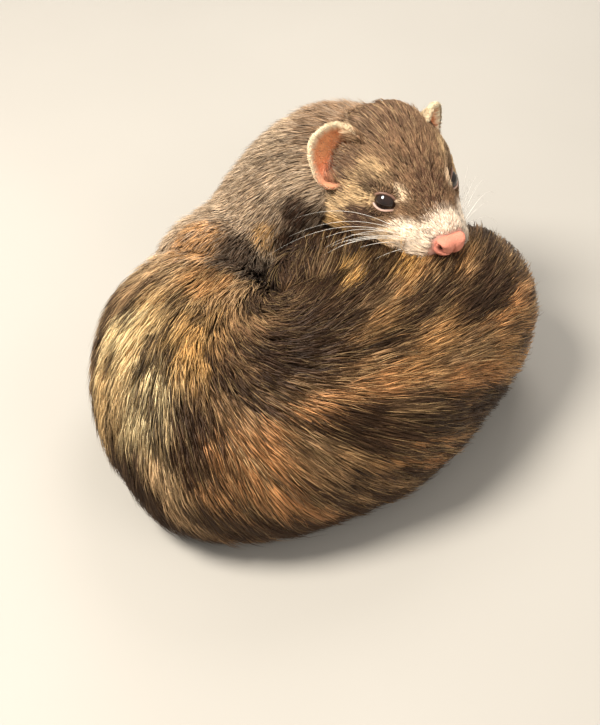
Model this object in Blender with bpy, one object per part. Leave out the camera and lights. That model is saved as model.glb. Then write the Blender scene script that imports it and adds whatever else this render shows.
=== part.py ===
"""A life-size ferret curled up on a floor, its head turned back to rest on its own rump.

Run with: blender --background --python part.py
Every size below is in millimetres and is turned into metres where a mesh is made. +Z is up.
The animal curls to its right, so its right side faces the middle of the curl.
"""

import math
from functools import partial

import bmesh
import bpy
import numpy as np
from mathutils import Matrix, Vector
from mathutils.bvhtree import BVHTree

MM = 0.001
GAP = 0.3  # room kept between two meshes that touch
WELD = 0.002  # points closer than this become one

# The trunk, seen from above, fans round a pivot under the neck. Its angle runs from chest to rump.
PIVOT = (-12.0, 22.0)
PIT = 5.0  # radius of the hollow left at the pivot
BREAST_TIP, BREAST_ROUND = 139.0, 168.0  # the chest's rounded front
RUMP_ROUND, RUMP_TIP = 350.0, 384.0  # the rump's rounded end
TRUNK = (  # angle, reach from the pivot, height of the back
    (139.0, 60.0, 60.0),
    (169.0, 65.0, 64.0),
    (190.0, 82.0, 68.0),
    (212.0, 98.0, 70.0),
    (232.0, 113.0, 70.0),
    (247.0, 123.0, 69.0),
    (264.0, 119.0, 70.0),
    (282.0, 109.5, 73.0),
    (302.0, 104.5, 75.0),
    (323.0, 99.5, 75.0),
    (340.0, 102.5, 75.0),
    (356.0, 109.0, 75.5),
    (384.0, 114.0, 78.0),
)
TRUNK_CUTS = {"torso_shoulders": (None, 192.0), "torso_ribs": (192.0, 232.0),
              "torso_loin": (232.0, 284.0), "torso_hips": (284.0, None)}
TRUNK_STEP = 8.0  # degrees between sections
TRUNK_SIDES = 30
WIDEST = 0.44  # height of the broadest level, as a share of the back's height
BELLY_PRESS = 5.0  # how far the soft belly is flattened by the floor
PRESS = 0.5  # and the tail and paws
SQUARENESS = 2.35  # superellipse exponent of the trunk's section

COAT_RISE = 1.6  # how far the plain trunk, neck and tail lie inside the tips of their locks

# The fold of skin at the waist: angle, reach and height of the points it runs through
FOLD = ((224.0, 45.0), (240.0, 69.0), (251.0, 91.0), (261.0, 105.0), (276.0, 113.0))
FOLD_DEPTH, FOLD_WIDTH = 3.0, 7.0

# Head: nose tip, and how the head is turned
NOSE = (54.0, 4.8, 79.0)
HEAD_YAW, HEAD_PITCH, HEAD_ROLL = -59.9, 6.5, -1.3
HEAD_SIDES = 34
HEAD = (  # distance behind the nose tip, top, bottom, half width, height of the widest level
    (2.4, 4.6, -7.0, 6.6, -1.0),
    (5.0, 7.2, -9.8, 9.4, -2.0),
    (9.0, 9.4, -13.0, 12.4, -3.8),
    (14.0, 11.6, -16.0, 15.2, -5.0),
    (20.0, 14.6, -18.4, 18.0, -5.5),
    (27.0, 18.8, -21.0, 21.2, -5.5),
    (35.0, 23.6, -26.5, 26.0, -7.0),
    (43.0, 27.4, -30.5, 29.0, -9.0),
    (51.0, 29.4, -32.0, 30.2, -9.0),
    (60.0, 30.0, -30.0, 29.0, -7.0),
    (78.0, 26.0, -22.0, 24.0, -2.0),
)
SKULL_ROUND, SKULL_END = 60.0, 78.0  # the back of the head rounds off between these
SNOUT_ROUND = 7.0  # and the muzzle over this length

TRUNK_LOCK_TURNS = (-24, -4, 16, 37, 58, 80, 104, 128)  # columns round a section
# Locks: share of the length, height over the surface, share of the width, thickness
LOCK_LONG, LOCK_WIDE, LOCK_PITCH = 34.0, 19.0, 31.0
LOCK_SHAPE = ((0.0, -1.6, 0.7, 1.6), (0.35, 0.2, 1.0, 1.6), (0.7, 1.1, 0.75, 1.3), (1.0, 2.2, 0.0, 0.6))
LOCK_CLEAR = 0.9  # room kept between a lock and another node
LOCK_MARGIN = 2.5  # degrees kept free of locks beside the trunk's cuts
LOCK_SEED = 11

EYE_AT, EYE_AIM = (-29.0, 16.8, 8.4), (0.50, 0.72, 0.48)  # left eye: on the skin, and its look
EYE_R, EYE_SINK = 5.5, 4.4
LID = 0.65  # lid thickness
LID_LONG, LID_HIGH = 5.3, 3.0  # half sizes of the opening

EARS = {  # middle, where the cup looks, its long way
    "ear_left": ((-54.0, 23.5, 12.0), (0.75, 0.62, 0.15), (0.02, -0.10, 0.99)),
    "ear_right": ((-53.0, -26.0, 17.0), (0.70, -0.45, 0.45), (-0.25, 0.05, 0.92)),
}
EAR_WIDE, EAR_TALL, EAR_DEEP, EAR_THICK = 12.0, 13.5, 7.0, 1.9

MOUTH = ((4.6, -6.6), (9.0, -7.9), (15.0, -8.6), (21.0, -8.2), (25.0, -7.0))  # back, height
LIP_GROOVE = 0.6

NECK = (  # middle, radius, from inside the skull to inside the chest
    (20.0, 55.0, 84.0, 24.5),
    (8.0, 59.4, 82.4, 27.4),
    (-6.0, 60.2, 74.2, 27.5),
    (-19.0, 56.0, 62.0, 26.4),
    (-31.0, 47.0, 50.0, 26.0),
    (-45.0, 31.0, 40.0, 31.0),
    (-50.0, 14.0, 35.0, 28.0),
)
NECK_CUT = 0.42  # where the neck is divided, as a share of its length
TAIL = (  # middle, radius
    (44.0, 32.0, 35.0, 11.0),
    (37.0, 54.0, 28.0, 12.5),
    (22.0, 70.0, 20.0, 14.8),
    (-5.0, 78.0, 14.8, 14.8),
    (-33.0, 77.0, 11.0, 11.5),
    (-57.0, 68.0, 9.0, 9.0),
    (-75.0, 55.0, 6.5, 5.0),
)
TAIL_CUT = 0.5  # where the tail is divided, as a share of its length
LEGS = {  # middle and radius from root to wrist or ankle; the paw follows
    "foreleg_left": ((-59.0, 41.0, 21.0, 11.0), (-49.0, 50.0, 13.0, 9.0),
                     (-39.0, 54.5, 9.0, 7.3), (-33.0, 55.5, 7.5, 6.6)),
    "foreleg_right": ((-47.0, 18.0, 30.0, 10.0), (-42.0, 30.0, 20.0, 9.0),
                      (-33.0, 36.5, 11.0, 7.6), (-24.0, 37.0, 7.5, 6.5)),
    "hindleg_left": ((66.0, 26.0, 16.0, 13.0), (56.0, 41.0, 10.0, 9.5),
                     (46.0, 48.0, 7.5, 7.5), (38.0, 50.0, 7.0, 6.8)),
    "hindleg_right": ((20.0, 22.0, 24.0, 11.0), (25.0, 29.0, 16.0, 9.5),
                      (25.0, 34.0, 10.0, 7.8), (17.0, 36.0, 7.0, 6.8)),
}
HAUNCH = ((7.0, 15.6, 38.5), (34.0, 25.6, 37.0))  # the right thigh fills the middle of the curl
PAW_LONG, PAW_WIDE, PAW_HIGH = 7.5, 6.2, 5.2
TOES, TOE_SPREAD, TOE_R, TOE_REACH = 5, 19.0, 2.3, 6.2
CLAW_LONG, CLAW_R = 4.5, 0.8

COAT, DARK, CREAM, PINK = (0.30, 0.19, 0.11), (0.09, 0.06, 0.045), (0.62, 0.48, 0.33), (0.72, 0.33, 0.26)
EYE_BROWN = (0.02, 0.012, 0.01)


def between(rows, at):
    """The rows' numbers at a place along the first column, on a smooth curve through them."""
    table = np.asarray(rows, float)
    x, y = table[:, 0], table[:, 1:]
    slope = np.gradient(y, x, axis=0)
    k = np.clip(np.searchsorted(x, at) - 1, 0, len(x) - 2)
    span = x[k + 1] - x[k]
    t = np.clip((at - x[k]) / span, 0.0, 1.0)
    return (
        (2 * t**3 - 3 * t**2 + 1) * y[k]
        + (t**3 - 2 * t**2 + t) * span * slope[k]
        + (3 * t**2 - 2 * t**3) * y[k + 1]
        + (t**3 - t**2) * span * slope[k + 1]
    )


def power(value, exponent):
    """A power that keeps its sign."""
    return np.sign(value) * np.abs(value) ** exponent


def material(name, colour, roughness):
    """A plain Principled material."""
    made = bpy.data.materials.get(name) or bpy.data.materials.new(name)
    made.use_nodes = True
    shader = made.node_tree.nodes["Principled BSDF"]
    shader.inputs["Base Color"].default_value = (*colour, 1.0)
    shader.inputs["Roughness"].default_value = roughness
    return made


def place(mesh, name, finish=None):
    """Links a mesh as a smooth-shaded object."""
    thing = bpy.data.objects.new(name, mesh)
    bpy.context.scene.collection.objects.link(thing)
    mesh.shade_smooth()
    mesh.set_sharp_from_angle(angle=math.radians(50))
    if finish:
        mesh.materials.clear()
        mesh.materials.append(finish)
    return thing


def skin_over(rings, name, finish=None, start_tip=None, end_tip=None):
    """One closed object over a row of rings, each an array of points, with flat or pointed ends."""
    bm = bmesh.new()
    loops = [[bm.verts.new(Vector(p) * MM) for p in ring] for ring in rings]
    for first, second in zip(loops, loops[1:]):
        for i in range(len(first)):
            j = (i + 1) % len(first)
            bm.faces.new((first[i], first[j], second[j], second[i]))
    for loop, tip in ((loops[0], start_tip), (loops[-1], end_tip)):
        if tip is None:
            bm.faces.new(loop)
            continue
        point = bm.verts.new(Vector(tip) * MM)
        for i in range(len(loop)):
            bm.faces.new((loop[i], loop[(i + 1) % len(loop)], point))
    bmesh.ops.recalc_face_normals(bm, faces=bm.faces)
    if bm.calc_volume(signed=True) < 0:
        bmesh.ops.reverse_faces(bm, faces=bm.faces)
    mesh = bpy.data.meshes.new(name)
    bm.to_mesh(mesh)
    bm.free()
    return place(mesh, name, finish)


def keep_largest(mesh):
    """Drops every closed surface of the mesh but the one that holds most."""
    bm = bmesh.new()
    bm.from_mesh(mesh)
    left, shells = set(bm.faces), []
    while left:
        seed = left.pop()
        shell, front = {seed}, [seed]
        while front:
            for edge in front.pop().edges:
                for face in edge.link_faces:
                    if face in left:
                        left.discard(face)
                        shell.add(face)
                        front.append(face)
        shells.append(shell)

    def held(shell):
        return sum(f.calc_center_median().dot(f.normal) * f.calc_area() for f in shell)

    largest = max(shells, key=held)
    bmesh.ops.delete(bm, geom=[f for f in bm.faces if f not in largest], context="FACES")
    bmesh.ops.remove_doubles(bm, verts=bm.verts, dist=WELD * MM)
    bm.to_mesh(mesh)
    bm.free()


def combine(thing, others, operation):
    """Joins the other objects to this one, or cuts them from it, and removes them."""
    helpers = bpy.data.collections.new("helpers")
    for other in others:
        helpers.objects.link(other)
    modifier = thing.modifiers.new("combine", "BOOLEAN")
    modifier.operation = operation
    modifier.operand_type = "COLLECTION"
    modifier.collection = helpers
    modifier.solver = "MANIFOLD"
    graph = bpy.context.evaluated_depsgraph_get()
    mesh = bpy.data.meshes.new_from_object(thing.evaluated_get(graph))
    thing.modifiers.clear()
    old, thing.data = thing.data, mesh
    name = old.name
    bpy.data.meshes.remove(old)
    mesh.name = name
    keep_largest(mesh)
    mesh.shade_smooth()
    mesh.set_sharp_from_angle(angle=math.radians(50))
    for other in others:
        bpy.data.objects.remove(other)
    bpy.data.collections.remove(helpers)
    return thing


def trunk_ring(angle, grow=0.0, turn=None):
    """The trunk's section at an angle round the pivot, shrinking to nothing at chest and rump."""
    reach, height = between(TRUNK, angle) - COAT_RISE
    inner = PIT
    share = 1.0
    if angle < BREAST_ROUND:
        share = (BREAST_ROUND - angle) / (BREAST_ROUND - BREAST_TIP)
        share = math.sqrt(max(1 - share**2, 0.0))
    elif angle > RUMP_ROUND:
        share = (angle - RUMP_ROUND) / (RUMP_TIP - RUMP_ROUND)
        share = math.sqrt(max(1 - share**2, 0.0))
    half = (reach - inner) / 2 * share + grow
    middle = (reach + inner) / 2
    level = height * WIDEST
    up = (height - level) * share + grow
    down = (level + BELLY_PRESS) * share + grow
    if turn is None:
        turn = np.linspace(0, 2 * math.pi, TRUNK_SIDES, endpoint=False)
    out = middle + half * power(np.cos(turn), 2 / SQUARENESS)
    rise = np.sin(turn)
    z = level + np.where(rise > 0, up, down) * power(rise, 2 / SQUARENESS)
    if not grow:
        z = fold_in(angle, out, z, level)
    z = np.maximum(z, -grow)
    out = np.maximum(out, PIT - grow)
    a = math.radians(angle)
    return np.stack(
        [PIVOT[0] + out * math.cos(a), PIVOT[1] + out * math.sin(a), z], 1
    )


def fold_in(angle, out, z, level):
    """Presses the crease at the waist into the upper side of a section."""
    fold = np.asarray(FOLD)
    if not fold[0, 0] - 12 < angle < fold[-1, 0] + 12:
        return z
    reach = np.interp(angle, fold[:, 0], fold[:, 1])
    ease = min(1.0, (angle - fold[0, 0] + 12) / 12, (fold[-1, 0] + 12 - angle) / 12)
    depth = FOLD_DEPTH * ease * np.exp(-(((out - reach) / FOLD_WIDTH) ** 2))
    return np.where(z > level, z - depth, z)


def trunk_angles(first, last):
    """The angles of the sections from one cut to another; None stands for a rounded end."""
    low = BREAST_ROUND if first is None else first
    high = RUMP_ROUND if last is None else last
    angles = list(np.linspace(low, high, 1 + max(1, round((high - low) / TRUNK_STEP))))
    round_off = np.radians([22, 42, 59, 72, 83])
    if first is None:
        reach = BREAST_ROUND - BREAST_TIP
        angles = [BREAST_ROUND - reach * math.sin(q) for q in round_off[::-1]] + angles
    if last is None:
        reach = RUMP_TIP - RUMP_ROUND
        angles += [RUMP_ROUND + reach * math.sin(q) for q in round_off]
    return angles


def torso():
    """The trunk's four lengths, parted by thin upright cuts."""
    made = {}
    for name, (first, last) in TRUNK_CUTS.items():
        rings = [trunk_ring(angle) for angle in trunk_angles(first, last)]
        for index, cut, way in ((0, first, 1), (-1, last, -1)):
            if cut is not None:
                a = math.radians(cut)
                ahead = np.array([-math.sin(a), math.cos(a), 0.0])
                rings[index] = rings[index] + ahead * way * GAP / 2
        tips = [None, None]
        if first is None:
            tips[0] = rings[0].mean(0)
        if last is None:
            tips[1] = rings[-1].mean(0)
        made[name] = skin_over(rings, name, material("coat", COAT, 0.8), *tips)
    return made


def trunk_cutter(grow=GAP):
    """The whole trunk, a gap larger all round."""
    angles = {angle for cuts in TRUNK_CUTS.values() for angle in trunk_angles(*cuts)}
    rings = []
    for angle in sorted(angles):
        a = math.radians(angle)
        ahead = np.array([-math.sin(a), math.cos(a), 0.0])
        early = max((BREAST_ROUND - angle) / (BREAST_ROUND - BREAST_TIP), 0.0)
        late = max((angle - RUMP_ROUND) / (RUMP_TIP - RUMP_ROUND), 0.0)
        rings.append(trunk_ring(angle, grow) + ahead * (late - early) * 2 * grow)
    return skin_over(rings, "trunk_cutter", None, rings[0].mean(0), rings[-1].mean(0))


def head_frame():
    """Turns the head's own frame, nose forward along X and left along Y, into the world's."""
    turn = (
        Matrix.Rotation(math.radians(HEAD_YAW), 3, "Z")
        @ Matrix.Rotation(math.radians(HEAD_PITCH), 3, "Y")
        @ Matrix.Rotation(math.radians(HEAD_ROLL), 3, "X")
    )
    return np.array(turn)


def in_head(points):
    """Points of the head's frame in the world's."""
    return np.asarray(points, float) @ head_frame().T + np.array(NOSE)


def head_share(back):
    """How far a section at this distance behind the nose has opened out from either end."""
    if back < SNOUT_ROUND:
        first = HEAD[0][0] - 0.4
        s = (SNOUT_ROUND - back) / (SNOUT_ROUND - first)
        return math.sqrt(max(1 - 0.92 * s**2.6, 0.0))
    if back > SKULL_ROUND:
        s = (back - SKULL_ROUND) / (SKULL_END - SKULL_ROUND)
        return math.sqrt(max(1 - s**2, 0.0))
    return 1.0


def head_ring(back, grow=0.0):
    """A section across the head, in the head's frame."""
    top, bottom, half, level = between(HEAD, back)
    share = head_share(back)
    turn = np.linspace(0, 2 * math.pi, HEAD_SIDES, endpoint=False)
    y = (half * share + grow) * power(np.cos(turn), 2 / 2.1)
    rise = np.sin(turn)
    up, down = (top - level) * share + grow, (level - bottom) * share + grow
    z = level + np.where(rise > 0, up, down) * power(rise, 2 / 2.1)
    return np.stack([np.full_like(y, -back), y, z], 1)


def head_rings(grow=0.0):
    """Sections from muzzle to nape."""
    front = HEAD[0][0] - grow
    backs = [front, 3.0, 4.0, 5.5, 7.0, 9.0, 11.5, 14.0, 17.0, 20.0, 23.0, 26.0, 29.0, 32.5]
    backs += [36.0, 40.0, 44.0, 49.0, 54.0, SKULL_ROUND]
    reach = SKULL_END - SKULL_ROUND
    backs += [SKULL_ROUND + reach * math.sin(math.radians(q)) for q in (20, 38, 54, 68, 80)]
    return [head_ring(back, grow) for back in backs]


def head_form(name, grow=0.0, finish=None):
    """The head's plain outer form."""
    rings = [in_head(ring) for ring in head_rings(grow)]
    tips = rings[0].mean(0), in_head((-SKULL_END - grow, 0.0, 2.0))
    return skin_over(rings, name, finish, *tips)


def side_of(point, side):
    """A point or direction given for the left, on the side asked for."""
    return np.array([point[0], point[1] * side, point[2]], float)


def ball(name, middle, radius, segments=16, finish=None):
    """A sphere in the world's frame."""
    bm = bmesh.new()
    bmesh.ops.create_uvsphere(
        bm, u_segments=segments, v_segments=segments // 2 + 2, radius=radius * MM
    )
    bmesh.ops.translate(bm, verts=bm.verts, vec=Vector(middle) * MM)
    mesh = bpy.data.meshes.new(name)
    bm.to_mesh(mesh)
    bm.free()
    return place(mesh, name, finish)


def eye_middle(side):
    """The eyeball's middle, in the world's frame."""
    aim = side_of(EYE_AIM, side)
    aim /= np.linalg.norm(aim)
    return in_head(side_of(EYE_AT, side) - EYE_SINK * aim)


def eye_frame(side):
    """The eye's long, high and outward directions in the world's frame."""
    aim = side_of(EYE_AIM, side)
    aim /= np.linalg.norm(aim)
    long = np.cross(np.array([0.18, 0.0, 1.0]), aim)
    long /= np.linalg.norm(long)
    high = np.cross(aim, long)
    turn = head_frame()
    return turn @ long, turn @ high, turn @ aim


def lid_opening(side):
    """The almond-shaped slot between the lids, as a cutter."""
    long, high, aim = eye_frame(side)
    middle = eye_middle(side)
    turn = np.linspace(0, 2 * math.pi, 16, endpoint=False)
    across = LID_LONG * np.cos(turn)
    upright = LID_HIGH * np.sin(turn) * (1 - 0.3 * np.cos(turn) ** 2)
    rings = []
    for depth in (EYE_R * 0.55, EYE_R * 2.0):
        rings.append(
            middle + np.outer(across, long) + np.outer(upright, high) + depth * aim
        )
    return skin_over(rings, "lid_opening")


def surface_half(back, height):
    """The head's half width at a distance behind the nose and a height."""
    top, bottom, half, level = between(HEAD, back)
    share = head_share(back)
    reach = (top - level) if height > level else (level - bottom)
    drop = min(abs(height - level) / (reach * share), 1.0)
    return half * share * (1 - drop**2.1) ** (1 / 2.1)


def lip_cutter():
    """A thin cord along the line of the mouth, from one corner round the muzzle to the other."""
    rows = np.array(MOUTH)
    backs = np.linspace(rows[-1, 0], rows[0, 0], 11)
    left = [(-b, surface_half(b, h), h) for b in backs for h in [np.interp(b, rows[:, 0], rows[:, 1])]]
    front = [(-3.4, 2.4, -6.2), (-3.2, 0.0, -6.0)]
    right = [(x, -y, z) for x, y, z in (left + front[:1])[::-1]]
    path = in_head(left + front + right)
    rows = np.column_stack([path, np.full(len(path), LIP_GROOVE)])
    return sweep(rows, "lip_cutter", steps=len(path), sides=5)


def line_of(rows):
    """The rows of middle and radius, with their share of the line's length put in front."""
    table = np.asarray(rows, float)
    length = np.r_[0, np.cumsum(np.linalg.norm(np.diff(table[:, :3], axis=0), axis=1))]
    return np.column_stack([length / length[-1], table])


def tube_frame(keyed, share):
    """Middle, radius, and the side, up and forward directions at a share of a line's length."""
    here = between(keyed, share)
    ahead = between(keyed, min(share + 0.01, 1.0))[:3] - between(keyed, max(share - 0.01, 0.0))[:3]
    ahead /= np.linalg.norm(ahead)
    side = np.cross(ahead, (0, 0, 1.0))
    side /= np.linalg.norm(side)
    return here[:3], here[3], side, np.cross(side, ahead), ahead


def sweep(rows, name, finish=None, steps=20, sides=20, grow=0.0, part=(0.0, 1.0), floor=None, dome=1.0):
    """A tube of changing radius along a smooth line, its ends domed, or flat where it is parted."""
    keyed = line_of(rows)
    turn = np.linspace(0, 2 * math.pi, sides, endpoint=False)
    rings, tips = [], [None, None]

    def ring(share, shrink, push):
        middle, radius, side, up, ahead = tube_frame(keyed, share)
        round_it = np.outer(np.cos(turn), side) + np.outer(np.sin(turn), up)
        points = middle + ahead * push * (radius * dome + grow) + (radius + grow) * shrink * round_it
        if floor is not None:
            points[:, 2] = np.maximum(points[:, 2], floor - grow)
        return points

    domes = np.radians([68, 42, 20])
    if part[0] == 0.0:
        tips[0] = ring(0.0, 0.0, -1.0)[0]
        rings += [ring(0.0, math.cos(q), -math.sin(q)) for q in domes]
    rings += [ring(share, 1.0, 0.0) for share in np.linspace(part[0], part[1], steps)]
    if part[1] == 1.0:
        tips[1] = ring(1.0, 0.0, 1.0)[0]
        rings += [ring(1.0, math.cos(q), math.sin(q)) for q in domes[::-1]]
    return skin_over(rings, name, finish, *tips)


def head():
    """The head: lids over the sockets, and the line of the mouth."""
    made = head_form("head", 0.0, material("face", CREAM, 0.8))
    lids = [ball("lid", eye_middle(s), EYE_R + GAP + LID) for s in (1, -1)]
    combine(made, lids, "UNION")
    sockets = [ball("socket", eye_middle(s), EYE_R + GAP) for s in (1, -1)]
    combine(made, sockets + [lid_opening(1), lid_opening(-1)], "DIFFERENCE")
    combine(made, [lip_cutter()], "DIFFERENCE")
    return made


def eyes():
    """Both eyeballs."""
    finish = material("eye", EYE_BROWN, 0.05)
    return [ball(f"eye_{n}", eye_middle(s), EYE_R, 14, finish) for n, s in (("left", 1), ("right", -1))]


def oval(name, middle, sizes, frame=None, segments=14, finish=None, floor=None):
    """An ellipsoid, its sizes along the axes of a frame, flattened where it would pass the floor."""
    bm = bmesh.new()
    bmesh.ops.create_uvsphere(bm, u_segments=segments, v_segments=segments // 2 + 1, radius=1.0)
    axes = np.eye(3) if frame is None else np.asarray(frame)
    for v in bm.verts:
        v.co = Vector(np.array(middle) + axes @ (np.array(v.co) * np.array(sizes))) * MM
        if floor is not None:
            v.co.z = max(v.co.z, floor)
    mesh = bpy.data.meshes.new(name)
    bm.to_mesh(mesh)
    bm.free()
    return place(mesh, name, finish)


def nose():
    """The bare nose pad with its two nostrils."""
    turn = head_frame()
    made = oval("nose", in_head((-3.4, 0, 0.4)), (4.3, 7.3, 5.3), turn, 14, material("nose", PINK, 0.35))
    nostrils = [
        oval("nostril", in_head((-0.9, s * 4.0, 0.4)), (2.4, 1.7, 1.3), turn, 8) for s in (1, -1)
    ]
    slits = [
        oval("slit", in_head((-2.6, s * 6.4, 0.9)), (2.4, 1.6, 0.8), turn, 8) for s in (1, -1)
    ]
    combine(made, nostrils + slits, "DIFFERENCE")
    combine(made, [head_form("head_cutter", GAP)], "DIFFERENCE")
    return made


def ear(name):
    """A rounded ear cup with a thick rim, its root resting on the skull."""
    at, aim, up = (np.array(v) for v in EARS[name])
    aim /= np.linalg.norm(aim)
    up -= aim * (up @ aim)
    up /= np.linalg.norm(up)
    across = np.cross(up, aim)
    turn = np.linspace(0, 2 * math.pi, 22, endpoint=False)
    rings = []

    def ring(share, lift):
        flat = np.outer(EAR_WIDE * share * np.cos(turn), across)
        flat += np.outer(EAR_TALL * share * np.sin(turn), up)
        return in_head(at + flat + lift * aim)

    def cup(share):
        return -EAR_DEEP * (1 - share**2)

    for share in (0.25, 0.5, 0.75, 0.92):
        rings.append(ring(share, cup(share)))
    for q in np.radians([0, 60, 120, 180]):
        rim = 1.0 + 0.5 * EAR_THICK / EAR_WIDE * math.sin(q)
        rings.append(ring(rim, (math.cos(q) - 1) * EAR_THICK / 2))
    for share in (0.92, 0.75, 0.5, 0.25):
        rings.append(ring(share, cup(share) - EAR_THICK))
    tips = ring(0, -EAR_DEEP)[0], ring(0, -EAR_DEEP - EAR_THICK)[0]
    made = skin_over(rings, name, material("ear", CREAM, 0.7), *tips)
    combine(made, [head_form("head_cutter", GAP)], "DIFFERENCE")
    return combine(made, [neck_form("neck_cutter", GAP)], "DIFFERENCE")


def neck_form(name, grow=0.0, finish=None, part=(0.0, 1.0)):
    """The neck's plain outer form."""
    rows = [(x, y, z, r - COAT_RISE) for x, y, z, r in NECK]
    steps = round(18 * (part[1] - part[0]))
    return sweep(rows, name, finish, steps=steps, sides=20, grow=grow, part=part, dome=0.3)


def neck():
    """The neck in two lengths, its ends shaped to the back of the skull and to the chest."""
    finish = material("coat", COAT, 0.8)
    half_gap = GAP / 2 / sum(math.dist(a[:3], b[:3]) for a, b in zip(NECK, NECK[1:]))
    nape = neck_form("neck_nape", 0.0, finish, (0.0, NECK_CUT - half_gap))
    combine(nape, [head_form("head_cutter", GAP)], "DIFFERENCE")
    base = neck_form("neck_base", 0.0, finish, (NECK_CUT + half_gap, 1.0))
    combine(base, [trunk_cutter()], "DIFFERENCE")
    return nape, base


def tail():
    """The tail, laid round the back of the curl, in two lengths."""
    finish = material("points", DARK, 0.8)
    rows = [(x, y, z - COAT_RISE - PRESS, r - COAT_RISE) for x, y, z, r in TAIL]
    half_gap = GAP / 2 / sum(math.dist(a[:3], b[:3]) for a, b in zip(TAIL, TAIL[1:]))
    root = sweep(rows, "tail_root", finish, 9, 16, part=(0.0, TAIL_CUT - half_gap), floor=0.0)
    tip = sweep(rows, "tail_tip", finish, 9, 16, part=(TAIL_CUT + half_gap, 1.0), floor=0.0)
    combine(root, [trunk_cutter()], "DIFFERENCE")
    return root, tip


def trunk_at(angle, turn):
    """A point of the trunk's surface."""
    return trunk_ring(angle, 0.0, np.array([turn]))[0]


def tube_at(rows, share, turn):
    """A point of the surface of a tube along rows of middle and radius, under its coat."""
    middle, radius, side, up, _ = tube_frame(line_of(rows), share)
    if rows is TAIL:
        middle = middle - np.array([0.0, 0.0, COAT_RISE + PRESS])
    return middle + (radius - COAT_RISE) * (math.cos(turn) * side + math.sin(turn) * up)


def steepness(at, u, v, du, dv):
    """How the surface moves for small steps along and across, and its outward normal."""
    along = (at(u + du, v) - at(u - du, v)) / (2 * du)
    across = (at(u, v + dv) - at(u, v - dv)) / (2 * dv)
    return along, across


def lock(at, u, v, long, wide, drift, rng, u_unit, u_end):
    """A flat tapered lock rooted at (u, v) of a surface, or nothing where it has no room."""
    du, dv = u_unit * 0.5, 0.02
    along, across = steepness(at, u, v, du, dv)
    step_u, step_v = np.linalg.norm(along), np.linalg.norm(across)
    long = min(long, (u_end - u) * step_u)
    if long < LOCK_LONG * 0.45 or step_v < 1.0:
        return None
    bend = rng.uniform(-0.12, 0.12)
    rings = []
    for share, height, width, thick in LOCK_SHAPE:
        su = u + long * share / step_u
        sv = v + (drift * share + bend * share**2) * long / step_v
        along, across = steepness(at, su, sv, du, dv)
        normal = np.cross(along, across)
        normal /= np.linalg.norm(normal)
        half = 0.5 * wide * width / max(np.linalg.norm(across), 1.0)
        lift = height + (0.35 if share > 0.5 else 0.0) * rng.uniform(-1, 1)
        top = at(su, sv) + normal * (lift + thick / 2)
        left = at(su, sv + half) + normal * (lift - thick / 2)
        right = at(su, sv - half) + normal * (lift - thick / 2)
        rings.append(np.array([top, left, right]))
    tip = rings.pop().mean(0)
    ring_points = np.concatenate(rings + [tip[None]])
    if ring_points[:, 2].min() < 0.4:
        return None
    return rings, tip, ring_points


def add_locks(thing, at, u_range, u_unit, columns, drift, others, rng):
    """Fuses rows of locks to a node, keeping clear of the other nodes."""
    trees = [tree_of(other) for other in others]
    made = []
    first, last = u_range
    for number, v in enumerate(columns):
        size = np.linalg.norm(at((first + last) / 2 + u_unit, v) - at((first + last) / 2, v)) / u_unit
        span = (last - first) * size
        rows = max(1, round(span / LOCK_PITCH))
        for row in range(rows):
            start = first + (row + 0.5 * (number % 2)) / rows * (last - first)
            start += rng.uniform(-0.1, 0.1) / rows * (last - first)
            turn = v + rng.uniform(-0.04, 0.04)
            grown = lock(at, max(start, first), turn, LOCK_LONG * rng.uniform(0.85, 1.15),
                         LOCK_WIDE * rng.uniform(0.85, 1.15), drift, rng, u_unit, last)
            if grown is None:
                continue
            rings, tip, points = grown
            middle = points.mean(0)
            probes = [middle * 0.5 + p * 0.5 for p in points] + list(points)
            if any(close_to(tree, Vector(p) * MM) for tree in trees for p in probes):
                continue
            made.append(skin_over(rings, "lock", None, None, tip))
    if made:
        combine(thing, made, "UNION")
    return len(made)


def tree_of(thing):
    """A search tree over an object's faces."""
    faces = [tuple(face.vertices) for face in thing.data.polygons]
    return BVHTree.FromPolygons([v.co for v in thing.data.vertices], faces)


def close_to(tree, point):
    """Whether a point lies in a closed mesh or within a lock's clearance of it."""
    if tree.find_nearest(point, LOCK_CLEAR * MM)[0] is not None:
        return True
    up = Vector((0.0, 0.0, 1.0))
    hits = 0
    hit = tree.ray_cast(point, up)[0]
    while hit is not None:
        hits += 1
        hit = tree.ray_cast(hit + up * WELD * MM, up)[0]
    return hits % 2 == 1


def haunch_form(name, grow=0.0, finish=None):
    """The right thigh's plain outer form."""
    middle, sizes = HAUNCH
    return oval(name, middle, [size + grow for size in sizes], None, 16, finish)


def haunch():
    """The right thigh, which fills the middle of the curl and carries the cheek."""
    made = haunch_form("haunch_right", 0.0, material("coat", COAT, 0.8))
    combine(made, [trunk_cutter()], "DIFFERENCE")
    combine(made, [neck_form("neck_cutter", 2 * GAP)], "DIFFERENCE")
    return combine(made, [head_form("head_cutter", GAP)], "DIFFERENCE")


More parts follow.
